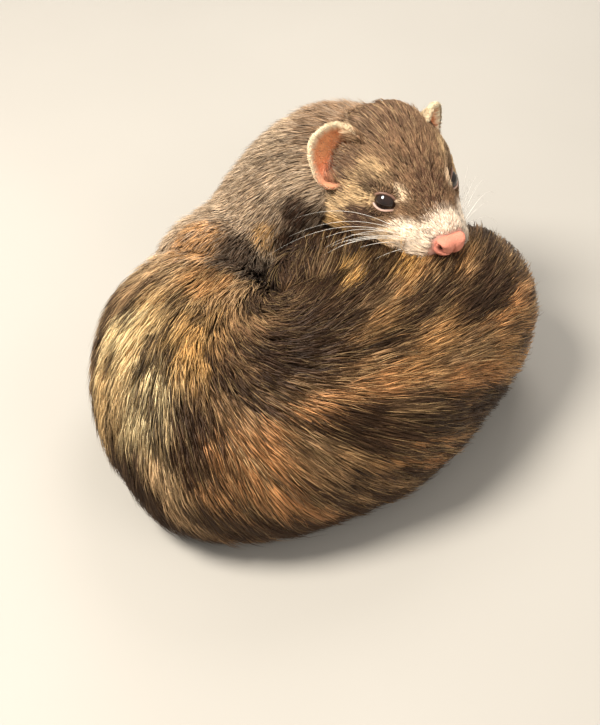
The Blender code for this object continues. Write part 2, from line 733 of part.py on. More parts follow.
def leg(name, rows):
    """A leg with its paw, five toes and claws, its root resting on the trunk."""
    made = sweep(rows, name, material("points", DARK, 0.8), steps=7, sides=12, floor=0.0)
    combine(made, [trunk_cutter()], "DIFFERENCE")
    combine(made, [neck_form("neck_cutter", 2 * GAP)], "DIFFERENCE")
    if name == "hindleg_right":
        combine(made, [haunch_form("haunch_cutter", GAP)], "DIFFERENCE")
    heading = math.atan2(rows[-1][1] - rows[-2][1], rows[-1][0] - rows[-2][0])
    palm = np.array(rows[-1][:3]) + np.array([math.cos(heading), math.sin(heading), 0.0]) * 3.0
    palm[2] = PAW_HIGH - PRESS
    turn = np.array(Matrix.Rotation(heading, 3, "Z"))
    pieces = [oval("palm", palm, (PAW_LONG, PAW_WIDE, PAW_HIGH), turn, 12, None, 0.0)]
    for k in range(TOES):
        angle = math.radians(TOE_SPREAD * (2 * k / (TOES - 1) - 1))
        way = turn @ np.array([math.cos(angle), math.sin(angle), 0.0])
        fan = turn @ np.array([0.0, PAW_WIDE * 0.78 * (2 * k / (TOES - 1) - 1), 0.0])
        toe = palm + fan + way * TOE_REACH * (1.0 - 0.12 * abs(k - 2))
        toe[2] = TOE_R - PRESS / 2
        toe_turn = np.column_stack([way, np.cross((0, 0, 1), way), (0, 0, 1)])
        pieces.append(oval("toe", toe, (TOE_R * 2.0, TOE_R * 0.92, TOE_R), toe_turn, 6, None, 0.0))
        root = toe + way * TOE_R * 1.3
        rings = []
        for share in (0.0, 0.55):
            lift = np.array([0.0, 0.0, 0.9 * math.sin(math.pi * share) + 0.2])
            middle = root + way * CLAW_LONG * share + lift
            spin = np.linspace(0, 2 * math.pi, 4, endpoint=False)
            round_it = np.outer(np.cos(spin), toe_turn[:, 1]) + np.outer(np.sin(spin), toe_turn[:, 2])
            rings.append(middle + CLAW_R * (1 - 0.6 * share) * round_it)
        pieces.append(skin_over(rings, "claw", None, None, root + way * CLAW_LONG))
    return combine(made, pieces, "UNION")


def stand_on_origin(things):
    """Moves everything so that the middle of the floor under the whole box is the origin."""
    corners = np.array([v.co for t in things for v in t.data.vertices])
    middle = (corners.min(0) + corners.max(0)) / 2
    for thing in things:
        thing.location = (-middle[0], -middle[1], 0.0)
    return middle


def coat(nodes):
    """Locks on the trunk, neck and tail, all lying from head to tail."""
    rng = np.random.default_rng(LOCK_SEED)
    turns = np.radians(TRUNK_LOCK_TURNS)
    for name, (first, last) in TRUNK_CUTS.items():
        low = BREAST_TIP + 6 if first is None else first + LOCK_MARGIN
        high = RUMP_TIP - 4 if last is None else last - LOCK_MARGIN
        others = [o for n, o in nodes.items() if n != name]
        add_locks(nodes[name], trunk_at, (low, high), 1.0, turns, -0.15, others, rng)
    for rows, names, cut in ((NECK, ("neck_nape", "neck_base"), NECK_CUT),
                             (TAIL, ("tail_root", "tail_tip"), TAIL_CUT)):
        for name, span in zip(names, ((0.06, cut - 0.01), (cut + 0.01, 0.99))):
            others = [o for n, o in nodes.items() if n != name]
            turns = np.radians(np.arange(0, 360, 36 if rows is NECK else 60))
            add_locks(nodes[name], partial(tube_at, rows), span, 0.01, turns, 0.0, others, rng)


def main():
    for thing in list(bpy.data.objects):
        bpy.data.objects.remove(thing)
    trunk = torso()
    combine(trunk["torso_hips"], [head_form("head_cutter", GAP)], "DIFFERENCE")
    made = [*trunk.values(), head(), nose(), *neck(), *eyes(), *tail()]
    made += [haunch()] + [ear(name) for name in EARS]
    made += [leg(name, rows) for name, rows in LEGS.items()]
    coat({thing.name: thing for thing in made})
    return stand_on_origin(made)


MIDDLE = main()
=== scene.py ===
"""Looks of the curled ferret: one skin, a coat of mesh tufts, eyes with lids, nose, ears, claws, whiskers.

The shapes are worked out in millimetres in the animal's own frame and moved onto the solids at the end.
"""

import math

import bpy
import numpy as np
from mathutils import Matrix, Vector
from mathutils.bvhtree import BVHTree
from mathutils.kdtree import KDTree


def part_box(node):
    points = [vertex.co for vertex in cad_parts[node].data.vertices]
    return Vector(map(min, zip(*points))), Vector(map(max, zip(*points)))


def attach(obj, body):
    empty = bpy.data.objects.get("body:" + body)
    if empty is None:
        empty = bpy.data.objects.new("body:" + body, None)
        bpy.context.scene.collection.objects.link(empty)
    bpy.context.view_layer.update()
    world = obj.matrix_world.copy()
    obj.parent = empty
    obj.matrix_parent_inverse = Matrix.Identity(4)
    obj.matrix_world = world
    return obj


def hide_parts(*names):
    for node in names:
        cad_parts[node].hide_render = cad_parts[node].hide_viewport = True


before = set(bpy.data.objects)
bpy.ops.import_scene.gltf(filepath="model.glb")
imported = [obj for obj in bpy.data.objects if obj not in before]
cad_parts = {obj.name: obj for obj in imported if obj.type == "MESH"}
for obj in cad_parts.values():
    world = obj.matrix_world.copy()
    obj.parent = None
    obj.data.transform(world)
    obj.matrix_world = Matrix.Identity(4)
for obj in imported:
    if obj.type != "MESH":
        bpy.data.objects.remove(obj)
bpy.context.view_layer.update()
MM = 0.001

# The animal's form, as in the solids
PIVOT, PIT = (-12.0, 22.0), 5.0
BREAST_TIP, BREAST_ROUND = 139.0, 168.0
RUMP_ROUND, RUMP_TIP = 350.0, 384.0
TRUNK = np.array((  # angle, reach from the pivot, height of the back
    (139.0, 60.0, 60.0), (169.0, 65.0, 64.0), (190.0, 82.0, 68.0), (212.0, 98.0, 70.0),
    (232.0, 113.0, 70.0), (247.0, 123.0, 69.0), (264.0, 119.0, 70.0), (282.0, 109.5, 73.0),
    (302.0, 104.5, 75.0), (323.0, 99.5, 75.0), (340.0, 102.5, 75.0), (356.0, 109.0, 75.5),
    (384.0, 114.0, 78.0),
))
WIDEST, BELLY_PRESS, SQUARENESS = 0.44, 5.0, 2.35
FOLD = np.array(((224.0, 45.0), (240.0, 69.0), (251.0, 91.0), (261.0, 105.0), (276.0, 113.0)))
FOLD_DEEP, FOLD_WIDE, FOLD_FADE = 4.0, 7.5, 12.0
NOSE = np.array((54.0, 4.8, 79.0))
HEAD_YAW, HEAD_PITCH, HEAD_ROLL = -59.9, 6.5, -1.3
HEAD = np.array((  # distance behind the nose tip, top, bottom, half width, height of the widest level
    (2.4, 4.6, -7.0, 6.6, -1.0), (5.0, 7.2, -9.8, 9.4, -2.0), (9.0, 9.4, -13.0, 12.4, -3.8),
    (14.0, 11.6, -16.0, 15.2, -5.0), (20.0, 14.6, -18.4, 18.0, -5.5), (27.0, 18.8, -21.0, 21.2, -5.5),
    (35.0, 23.6, -26.5, 26.0, -7.0), (43.0, 27.4, -30.5, 29.0, -9.0), (51.0, 29.4, -32.0, 30.2, -9.0),
    (60.0, 30.0, -30.0, 29.0, -7.0), (78.0, 26.0, -22.0, 24.0, -2.0),
))
SKULL_ROUND, SKULL_END, SNOUT_ROUND, HEAD_SQUARENESS = 60.0, 78.0, 7.0, 2.1
EYE_AT, EYE_AIM, EYE_R, EYE_SINK, EYE_OUT = (-29.0, 16.8, 8.4), (0.50, 0.72, 0.48), 5.5, 4.4, 1.0
LID_LONG, LID_HIGH, LID_TILT, INNER_CORNER, LID_PINCH = 4.9, 2.9, -16.0, 1.2, 0.35
EARS = {  # middle, where the cup looks, its long way
    "ear_left": ((-54.0, 23.5, 12.0), (0.75, 0.62, 0.15), (0.02, -0.10, 0.99)),
    "ear_right": ((-53.0, -26.0, 17.0), (0.70, -0.45, 0.45), (-0.25, 0.05, 0.92)),
}
EAR_WIDE, EAR_TALL, EAR_DEEP, EAR_THICK, EAR_FUR = 12.0, 13.5, 7.0, 1.9, 0.8
MOUTH = np.array(((4.6, -6.6), (9.0, -7.9), (15.0, -8.6), (21.0, -8.2), (25.0, -7.0)))
NECK = (  # x, y, z and radius, as for the tail and the legs
    (20.0, 55.0, 84.0, 24.5), (8.0, 59.4, 82.4, 27.4), (-6.0, 60.2, 74.2, 27.5), (-19.0, 56.0, 62.0, 26.4),
    (-31.0, 47.0, 50.0, 26.0), (-45.0, 31.0, 40.0, 31.0), (-50.0, 14.0, 35.0, 28.0),
)
TAIL = (
    (44.0, 32.0, 35.0, 11.0), (37.0, 54.0, 28.0, 12.5), (22.0, 70.0, 20.0, 14.8), (-5.0, 78.0, 14.8, 14.8),
    (-33.0, 77.0, 11.0, 11.5), (-57.0, 68.0, 9.0, 9.0), (-75.0, 55.0, 6.5, 5.0),
)
LEGS = {
    "foreleg_left": ((-59.0, 41.0, 21.0, 11.0), (-49.0, 50.0, 13.0, 9.0),
                     (-39.0, 54.5, 9.0, 7.3), (-33.0, 55.5, 7.5, 6.6)),
    "foreleg_right": ((-47.0, 18.0, 30.0, 10.0), (-42.0, 30.0, 20.0, 9.0),
                      (-33.0, 36.5, 11.0, 7.6), (-24.0, 37.0, 7.5, 6.5)),
    "hindleg_left": ((66.0, 26.0, 16.0, 13.0), (56.0, 41.0, 10.0, 9.5),
                     (46.0, 48.0, 7.5, 7.5), (38.0, 50.0, 7.0, 6.8)),
    "hindleg_right": ((20.0, 22.0, 24.0, 11.0), (25.0, 29.0, 16.0, 9.5),
                      (25.0, 34.0, 10.0, 7.8), (17.0, 36.0, 7.0, 6.8)),
}
HAUNCH = (np.array((7.0, 15.6, 38.5)), np.array((34.0, 25.6, 37.0)))
PAW_LONG, PAW_WIDE, PAW_HIGH, PALM_AHEAD, PAW_FLOOR = 7.5, 6.2, 5.2, 3.0, 0.2
TOES, TOE_SPREAD, TOE_R, TOE_REACH = 5, 19.0, 2.3, 6.2

# How deep the skin lies under the tips of the coat, and how fine it is
UNDER_TRUNK, UNDER_NECK, UNDER_TAIL, UNDER_HAUNCH, UNDER_LEG, UNDER_HEAD = 5.2, 4.4, 4.6, 2.6, 1.2, 0.9
SKIN_FLOOR, TAIL_DROP, VOXEL, SMOOTHINGS = 0.6, 1.0, 1.2, 8


def between(rows, at):
    """The rows' numbers at places along the first column, on a smooth curve through them."""
    table = np.asarray(rows, float)
    at = np.atleast_1d(np.asarray(at, float))
    x, y = table[:, 0], table[:, 1:]
    slope = np.gradient(y, x, axis=0)
    k = np.clip(np.searchsorted(x, at) - 1, 0, len(x) - 2)
    span = (x[k + 1] - x[k])[:, None]
    t = np.clip((at[:, None] - x[k][:, None]) / span, 0.0, 1.0)
    return (
        (2 * t**3 - 3 * t**2 + 1) * y[k]
        + (t**3 - 2 * t**2 + t) * span * slope[k]
        + (3 * t**2 - 2 * t**3) * y[k + 1]
        + (t**3 - t**2) * span * slope[k + 1]
    )


def power(value, exponent):
    return np.sign(value) * np.abs(value) ** exponent


def unit(v):
    v = np.asarray(v, float)
    return v / np.maximum(np.linalg.norm(v, axis=-1, keepdims=True), 1e-9)


def ease(x, low, high):
    """0 below low, 1 above high, smooth between."""
    t = np.clip((x - low) / (high - low), 0.0, 1.0)
    return t * t * (3 - 2 * t)


def bell(x, width):
    """1 at zero, falling off smoothly over a width to both sides."""
    return np.exp(-((x / width) ** 2))


def mixed(one, other, share):
    """From one to the other as the share goes from 0 to 1."""
    return one * (1 - share) + other * share


def turns(sides):
    return np.linspace(0, 2 * math.pi, sides, endpoint=False)


def wrapped(turn):
    """A turn from -pi to pi as 0 to 1."""
    return turn / (2 * math.pi) + 0.5


def hoops(turn, side, up):
    """A unit circle for each pair of directions."""
    return np.cos(turn)[None, :, None] * side[:, None] + np.sin(turn)[None, :, None] * up[:, None]


def oval_square(points, middle, sizes):
    """Squared distance from an oval's middle counted in its sizes, alike on both sides of the head."""
    (mx, my, mz), (sx, sy, sz) = middle, sizes
    x, y, z = points[..., 0], np.abs(points[..., 1]), points[..., 2]
    return ((x - mx) / sx) ** 2 + ((y - my) / sy) ** 2 + ((z - mz) / sz) ** 2


def noise(x, y, seed, cells=128):
    """Smooth value noise from 0 to 1 on a lattice of unit cells."""
    table = np.random.default_rng(seed).random((cells, cells))
    xi, yi = np.floor(x).astype(int), np.floor(y).astype(int)
    fx, fy = x - xi, y - yi
    fx, fy = fx * fx * (3 - 2 * fx), fy * fy * (3 - 2 * fy)
    near, far = xi % cells, (xi + 1) % cells
    low, high = (mixed(table[near, k % cells], table[far, k % cells], fx) for k in (yi, yi + 1))
    return mixed(low, high, fy)


def bilinear(xs, ys, table, x, y):
    """A table's value at places between its rows and columns."""
    i = np.clip(np.searchsorted(xs, x) - 1, 0, len(xs) - 2)
    j = np.clip(np.searchsorted(ys, y) - 1, 0, len(ys) - 2)
    xs, ys = np.asarray(xs, float), np.asarray(ys, float)
    u = np.clip((x - xs[i]) / (xs[i + 1] - xs[i]), 0, 1)
    v = np.clip((y - ys[j]) / (ys[j + 1] - ys[j]), 0, 1)
    return mixed(mixed(table[i, j], table[i + 1, j], u), mixed(table[i, j + 1], table[i + 1, j + 1], u), v)


def srgb(r, g, b):
    """A colour of 0 to 255 as the renderer's linear one."""
    c = np.array([r, g, b], float) / 255
    return np.where(c <= 0.04045, c / 12.92, ((c + 0.055) / 1.055) ** 2.4)


# Frames of the head, eyes and tubes

TURN = np.array(
    Matrix.Rotation(math.radians(HEAD_YAW), 3, "Z")
    @ Matrix.Rotation(math.radians(HEAD_PITCH), 3, "Y")
    @ Matrix.Rotation(math.radians(HEAD_ROLL), 3, "X")
)


def in_head(points):
    return np.asarray(points, float) @ TURN.T + NOSE


def to_head(points):
    return (np.asarray(points, float) - NOSE) @ TURN


def eye_frame(side):
    """The eye's middle and its long, high and outward directions."""
    aim = unit(np.array(EYE_AIM) * (1, side, 1))
    middle = in_head(np.array(EYE_AT) * (1, side, 1) - EYE_SINK * aim)
    long = unit(np.cross(np.array([0.18, 0.0, 1.0]), aim))
    high, tilt = np.cross(aim, long), math.radians(LID_TILT * side)
    c, s = math.cos(tilt), math.sin(tilt)
    long, high = long * c + high * s, high * c - long * s
    return middle, TURN @ long, TURN @ high, TURN @ aim


def corner_drop(inward):
    """How far the lids' opening sinks towards its inner corner."""
    return 0.5 * ease(inward, 2.0, 5.0)


def opening(side, a, b):
    """How far points are from the middle of the lids' opening, counted in its reach: 1 on its edge."""
    reach = np.where(a * side < 0, LID_LONG * INNER_CORNER, LID_LONG)
    x = np.clip(a / reach, -1, 1)
    high = LID_HIGH * (1 - LID_PINCH * x * x)
    return np.sqrt((a / reach) ** 2 + ((b + corner_drop(-a * side)) / high) ** 2)


def tube_frames(rows, shares):
    """Middles, radii, and the side, up and forward directions at shares of a line's length."""
    table = np.asarray(rows, float)
    length = np.r_[0, np.cumsum(np.linalg.norm(np.diff(table[:, :3], axis=0), axis=1))]
    keyed = np.column_stack([length / length[-1], table])
    here = between(keyed, shares)
    after = between(keyed, np.minimum(shares + 0.01, 1.0))
    before = between(keyed, np.maximum(shares - 0.01, 0.0))
    ahead = unit(after[:, :3] - before[:, :3])
    side = unit(np.cross(ahead, (0, 0, 1.0)))
    return here[:, :3], here[:, 3], side, np.cross(side, ahead), ahead


EYES = {side: eye_frame(side) for side in (1, -1)}

# From the animal's frame to the solids', taken from where the left eye's solid lies
LOW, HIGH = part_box("eye_left")
SHIFT = (np.array(LOW) + np.array(HIGH)) / 2 / MM - EYES[1][0]
EYES = {side: (middle + EYE_OUT * aim, long, high, aim) for side, (middle, long, high, aim) in EYES.items()}


# Shells and meshes

def facing_out(verts, faces):
    a, b, c = (verts[faces[:, q]] for q in range(3))
    return faces[:, ::-1] if np.einsum("ij,ij->i", a, np.cross(b, c)).sum() < 0 else faces


def shell(rings, tips):
    """Vertices and faces of one closed surface over rings of points, each end closed to a tip."""
    n, last = len(rings[0]), len(rings) - 1
    verts = np.concatenate([*rings, *(np.array([tip]) for tip in tips)])
    i = np.arange(n)
    j = (i + 1) % n
    faces = []
    for a in np.arange(last) * n:
        faces += [np.stack([a + i, a + j, a + n + j], 1), np.stack([a + i, a + n + j, a + n + i], 1)]
    faces.append(np.stack([j, i, np.full(n, len(verts) - 2)], 1))
    faces.append(np.stack([last * n + i, last * n + j, np.full(n, len(verts) - 1)], 1))
    return verts, facing_out(verts, np.concatenate(faces))


def mesh_of(name, verts, faces):
    """An object of triangles given in millimetres of the animal's frame."""
    verts = (np.asarray(verts, float) + SHIFT) * MM
    faces = np.asarray(faces, np.int32)
    mesh = bpy.data.meshes.new(name)
    mesh.vertices.add(len(verts))
    mesh.vertices.foreach_set("co", verts.astype(np.float32).ravel())
    mesh.loops.add(faces.size)
    mesh.loops.foreach_set("vertex_index", faces.ravel())
    mesh.polygons.add(len(faces))
    mesh.polygons.foreach_set("loop_start", np.arange(0, faces.size, 3, dtype=np.int32))
    mesh.polygons.foreach_set("loop_total", np.full(len(faces), 3, np.int32))
    mesh.update(calc_edges=True)
    mesh.polygons.foreach_set("use_smooth", np.ones(len(faces), bool))
    thing = bpy.data.objects.new(name, mesh)
    bpy.context.scene.collection.objects.link(thing)
    return thing


def arrays_of(thing):
    """Vertices in the animal's millimetres and triangles of an object."""
    mesh = thing.evaluated_get(bpy.context.evaluated_depsgraph_get()).to_mesh()
    mesh.calc_loop_triangles()
    verts = np.empty(len(mesh.vertices) * 3, np.float32)
    mesh.vertices.foreach_get("co", verts)
    faces = np.empty(len(mesh.loop_triangles) * 3, np.int32)
    mesh.loop_triangles.foreach_get("vertices", faces)
    return verts.reshape(-1, 3).astype(float) / MM - SHIFT, faces.reshape(-1, 3)


def merged(shells):
    verts, faces, base = [], [], 0
    for v, f in shells:
        verts.append(v)
        faces.append(f + base)
        base += len(v)
    return np.concatenate(verts), np.concatenate(faces)


def paint(thing, colours):
    """Colours per vertex, linear."""
    layer = thing.data.color_attributes.new(name="Col", type="FLOAT_COLOR", domain="POINT")
    rgba = np.ones((len(colours), 4), np.float32)
    rgba[:, :3] = colours
    layer.data.foreach_set("color", rgba.ravel())


# Forms of the skin

def trunk_share(angle):
    early = np.clip((BREAST_ROUND - angle) / (BREAST_ROUND - BREAST_TIP), 0, 1)
    late = np.clip((angle - RUMP_ROUND) / (RUMP_TIP - RUMP_ROUND), 0, 1)
    return np.sqrt(np.maximum(1 - np.maximum(early, late) ** 2, 0.0))


def trunk_ring(angle, sides=96):
    reach, height = between(TRUNK, angle)[0] - UNDER_TRUNK
    share = float(trunk_share(np.array([angle]))[0])
    half, middle = (reach - PIT - UNDER_TRUNK) / 2 * share, (reach + PIT + UNDER_TRUNK) / 2
    level = height * WIDEST
    turn = turns(sides)
    out = middle + half * power(np.cos(turn), 2 / SQUARENESS)
    rise = np.sin(turn)
    z = level + np.where(rise > 0, height - level, level + BELLY_PRESS) * share * power(rise, 2 / SQUARENESS)
    near = np.interp(angle, FOLD[:, 0], FOLD[:, 1])
    inside = min(angle - FOLD[0, 0] + FOLD_FADE, FOLD[-1, 0] + FOLD_FADE - angle) / FOLD_FADE
    z = np.where(z > level, z - FOLD_DEEP * np.clip(inside, 0, 1) * bell(out - near, FOLD_WIDE), z)
    z = np.maximum(z, SKIN_FLOOR)
    a = math.radians(angle)
    return np.stack([PIVOT[0] + out * math.cos(a), PIVOT[1] + out * math.sin(a), z], 1)


def trunk_shell():
    breast, rump = BREAST_ROUND - BREAST_TIP, RUMP_TIP - RUMP_ROUND
    angles = [BREAST_ROUND - breast * math.sin(q) for q in np.radians([84, 72, 60, 46, 32, 16])]
    angles += list(np.linspace(BREAST_ROUND, RUMP_ROUND, 60))
    angles += [RUMP_ROUND + rump * math.sin(q) for q in np.radians([14, 28, 42, 56, 70, 82])]
    rings = [trunk_ring(a) for a in angles]
    return shell(rings, (rings[0].mean(0), rings[-1].mean(0)))


def tube_shell(rows, inset, sides=64, steps=60, floor=-math.inf):
    """A tube with a dome on each end, flat where it would pass through the floor."""
    mid, radius, side, up, ahead = tube_frames(rows, np.linspace(0, 1, steps))
    radius = np.maximum(radius - inset, 1.0)
    circle = hoops(turns(sides), side, up)
    start, end = (
        [mid[at] + ahead[at] * way * radius[at] * math.sin(q) + radius[at] * math.cos(q) * circle[at]
         for q in np.radians([20, 40, 58, 74])]
        for at, way in ((0, -1), (-1, 1))
    )
    rings = start[::-1] + list(mid[:, None] + radius[:, None, None] * circle) + end
    for ring in rings:
        ring[:, 2] = np.maximum(ring[:, 2], floor)
    return shell(rings, (mid[0] - ahead[0] * radius[0], mid[-1] + ahead[-1] * radius[-1]))


def oval_shell(middle, sizes, turn=np.eye(3), n=32, floor=-math.inf):
    lon = turns(n)

    def placed(x, y, z):
        spots = np.array(middle) + (np.stack([x, y, z], -1) * sizes) @ turn.T
        spots[..., 2] = np.maximum(spots[..., 2], floor)
        return spots

    rings = [placed(np.cos(q) * np.cos(lon), np.cos(q) * np.sin(lon), np.full(n, math.sin(q)))
             for q in np.radians(np.linspace(-84, 84, n // 2))]
    return shell(rings, [placed(0.0, 0.0, s) for s in (-1.0, 1.0)])


def paw_parts(rows, grow=0.0):
    """Palm and toes of a paw as ovals, and for each toe where its claw starts and points."""
    heading = math.atan2(rows[-1][1] - rows[-2][1], rows[-1][0] - rows[-2][0])
    palm = np.array(rows[-1][:3]) + np.array([math.cos(heading), math.sin(heading), 0.0]) * PALM_AHEAD
    palm[2] = PAW_HIGH - 0.5
    turn = np.array(Matrix.Rotation(heading, 3, "Z"))
    made = [oval_shell(palm, np.array((PAW_LONG, PAW_WIDE, PAW_HIGH)) + grow, turn, 28, PAW_FLOOR)]
    claws = []
    for place in np.linspace(-1, 1, TOES):
        angle = math.radians(TOE_SPREAD * place)
        way = turn @ np.array([math.cos(angle), math.sin(angle), 0.0])
        fan = turn @ np.array([0.0, PAW_WIDE * 0.78 * place, 0.0])
        toe = palm + fan + way * TOE_REACH * (1.0 - 0.24 * abs(place))
        toe[2] = TOE_R - 0.25
        toe_turn = np.column_stack([way, np.cross((0, 0, 1), way), (0, 0, 1)])
        sizes = np.array((TOE_R * 2.0, TOE_R * 0.92, TOE_R)) + grow
        made.append(oval_shell(toe, sizes, toe_turn, 20, PAW_FLOOR))
        claws.append((toe + way * TOE_R * 1.2, way))
    return made, claws


def body_shells():
    low_tail = [(x, y, z - TAIL_DROP, r) for x, y, z, r in TAIL]
    made = [trunk_shell(), tube_shell(NECK, UNDER_NECK), tube_shell(low_tail, UNDER_TAIL, floor=SKIN_FLOOR),
            oval_shell(HAUNCH[0], HAUNCH[1] - UNDER_HAUNCH, n=64)]
    for rows in LEGS.values():
        made.append(tube_shell(rows, UNDER_LEG, 40, 30, floor=0.4))
        made += paw_parts(rows, -UNDER_LEG * 0.25)[0]
    return made


def head_half(back):
    """Top, bottom, half width, widest level and opening share at distances behind the nose."""
    rows = between(HEAD, back)
    s = np.clip((SNOUT_ROUND - back) / (SNOUT_ROUND - HEAD[0, 0] + 0.4), 0, 1)
    share = np.sqrt(np.maximum(1 - 0.92 * s**2.6, 0.0))
    s = np.clip((back - SKULL_ROUND) / (SKULL_END - SKULL_ROUND), 0, 1)
    return *rows.T, share * np.sqrt(np.maximum(1 - s**2, 0.0))


HEAD_BUMPS = (  # middle (x, |y|, z), sizes, how far out
    ((-8.0, 7.5, -4.5), (5.5, 5.0, 4.0), 1.1),  # whisker pads
    ((-1.5, 0.0, -6.0), (4.0, 1.3, 4.0), -0.9),  # groove under the nose
    ((-17.0, 10.5, 6.0), (7.0, 5.0, 5.0), -0.8),  # flank of the muzzle
    ((-23.0, 15.5, 6.5), (4.0, 4.0, 4.0), -0.9),  # in front of the eye
    ((-28.0, 13.0, 16.0), (7.0, 4.0, 4.0), 0.7),  # brow
    ((-32.0, 20.0, 1.0), (7.0, 5.0, 5.0), 0.8),  # cheekbone
    ((-34.0, 0.0, 24.0), (10.0, 3.0, 6.0), -0.4),  # between the brows
    ((-6.0, 4.0, -13.0), (5.0, 5.0, 3.0), -0.6),  # chin
)


def head_shell(sides=200):
    """The head as rings behind the nose, with bumps, a mouth line and sockets for the eyes."""
    backs = np.concatenate([
        HEAD[0, 0] - 0.4 + np.array([0.0, 0.3, 0.7, 1.2, 1.8]), np.arange(4.4, 44.0, 0.62),
        np.arange(44.0, SKULL_ROUND, 1.0),
        SKULL_ROUND + (SKULL_END - SKULL_ROUND) * np.sin(np.radians(np.linspace(4, 86, 16))),
    ])
    turn = turns(sides)
    top, bottom, half, level, share = (v[:, None] for v in head_half(backs))
    y = half * share * power(np.cos(turn), 2 / HEAD_SQUARENESS)
    rise = np.sin(turn)
    z = level + np.where(rise > 0, top - level, level - bottom) * share * power(rise, 2 / HEAD_SQUARENESS)
    back = np.repeat(backs[:, None], sides, 1)
    grid = np.stack([-back, y, z], 2)
    normal = unit(np.cross(np.roll(grid, -1, 1) - np.roll(grid, 1, 1), np.gradient(grid, axis=0)))
    normal *= np.sign((normal * (grid - np.array([-40.0, 0, 0]))).sum(2).mean())
    push = -UNDER_HEAD - 1.6 * ease(back, 34.0, 60.0)
    for middle, sizes, out in HEAD_BUMPS:
        push += out * np.exp(-oval_square(grid, middle, sizes))
    on_mouth = 1 - ease(back, 22.0, 27.0)
    off = grid[..., 2] - np.interp(back, MOUTH[:, 0], MOUTH[:, 1])
    push -= 0.9 * bell(off, 0.7) * on_mouth
    push -= 1.0 * bell(off + 3.5, 2.6) * on_mouth
    world = in_head((grid + normal * push[..., None]).reshape(-1, 3))
    for side, (middle, long, high, aim) in EYES.items():
        v = world - middle
        d = np.linalg.norm(v, axis=1)
        facing = (v @ aim) / np.maximum(d, 1e-6)
        lid = (facing > 0.2) & (d < EYE_R + 4.0)
        want = np.maximum(d, EYE_R + 0.75)
        new_d = np.where(lid, d + (want - d) * ease(facing, 0.2, 0.6), d)
        inside = lid & (opening(side, v @ long, v @ high) < 1.1)
        new_d = np.where(inside, np.minimum(new_d, EYE_R - 0.6), new_d)
        world = middle + v * (new_d / np.maximum(d, 1e-6))[:, None]
    rings = list(world.reshape(grid.shape))
    return shell(rings, (rings[0].mean(0), rings[-1].mean(0)))


def ear_axes(name):
    at, aim, up = (np.array(v, float) for v in EARS[name])
    aim = unit(aim)
    up = unit(up - aim * (up @ aim))
    return at, aim, up, np.cross(up, aim)


def ear_shell(name, sides=72):
    """A thin cup with a rolled rim."""
    at, aim, up, across = ear_axes(name)
    turn = turns(sides)
    wave = 1 + 0.03 * np.sin(3 * turn + 1.0) + 0.02 * np.sin(5 * turn)

    def ring(share, lift):
        flat = np.outer((EAR_WIDE - EAR_FUR) * share * wave * np.cos(turn), across)
        flat += np.outer((EAR_TALL - EAR_FUR) * share * wave * np.sin(turn), up)
        return in_head(at + flat + np.reshape(lift, (-1, 1)) * aim)

    thick = EAR_THICK * 0.7
    rings = []
    for share in np.linspace(0.12, 0.94, 14):
        fold = 0.9 * bell(share - 0.55, 0.14) * np.maximum(0, np.cos(turn - 2.6)) ** 2
        rings.append(ring(share, -EAR_DEEP * (1 - share**2) + fold))
    for q in np.radians([0, 30, 60, 90, 120, 150, 180]):
        rings.append(ring(1.0 + 0.5 * thick / EAR_WIDE * math.sin(q), (math.cos(q) - 1) * thick / 2))
    for share in np.linspace(0.94, 0.12, 14):
        rings.append(ring(share, -EAR_DEEP * (1 - share**2) - thick))
    return shell(rings, (ring(0, -EAR_DEEP)[0], ring(0, -EAR_DEEP - thick)[0]))


def apply_all(thing):
    """Makes an object's mesh anew with its modifiers and drops them."""
    graph = bpy.context.evaluated_depsgraph_get()
    mesh = bpy.data.meshes.new_from_object(thing.evaluated_get(graph))
    thing.modifiers.clear()
    old, thing.data = thing.data, mesh
    bpy.data.meshes.remove(old)
    mesh.name = thing.name


def build_skin():
    """The body made one by small cubes and smoothed, joined with the head and the ears."""
    skin = mesh_of("skin", *merged(body_shells()))
    remesh = skin.modifiers.new("remesh", "REMESH")
    remesh.mode, remesh.voxel_size = "VOXEL", VOXEL * MM
    smooth = skin.modifiers.new("smooth", "SMOOTH")
    smooth.factor, smooth.iterations = 0.5, SMOOTHINGS
    apply_all(skin)
    parts = [mesh_of("head_form", *head_shell())]
    parts += [mesh_of(name + "_form", *ear_shell(name)) for name in EARS]
    helpers = bpy.data.collections.new("helpers")
    for part in parts:
        helpers.objects.link(part)
    join = skin.modifiers.new("join", "BOOLEAN")
    join.operation, join.solver = "UNION", "MANIFOLD"
    join.operand_type, join.collection = "COLLECTION", helpers
    apply_all(skin)
    for part in parts:
        bpy.data.objects.remove(part)
    bpy.data.collections.remove(helpers)
    skin.data.polygons.foreach_set("use_smooth", np.ones(len(skin.data.polygons), bool))
    return skin


# Where a point is on the animal

CHARTS = {  # place of each part in the coat's unwrap: left, bottom, width, height
    "trunk": (0.01, 0.01, 0.98, 0.52), "head": (0.01, 0.55, 0.44, 0.44), "neck": (0.47, 0.55, 0.25, 0.2),
    "haunch": (0.47, 0.77, 0.25, 0.22), "tail": (0.74, 0.55, 0.25, 0.15),
    "foreleg_left": (0.74, 0.72, 0.12, 0.12), "foreleg_right": (0.87, 0.72, 0.12, 0.12),
    "hindleg_left": (0.74, 0.86, 0.12, 0.13), "hindleg_right": (0.87, 0.86, 0.12, 0.13),
}


def superellipse(u, v, exponent):
    return (np.abs(u) ** exponent + np.abs(v) ** exponent) ** (1 / exponent)


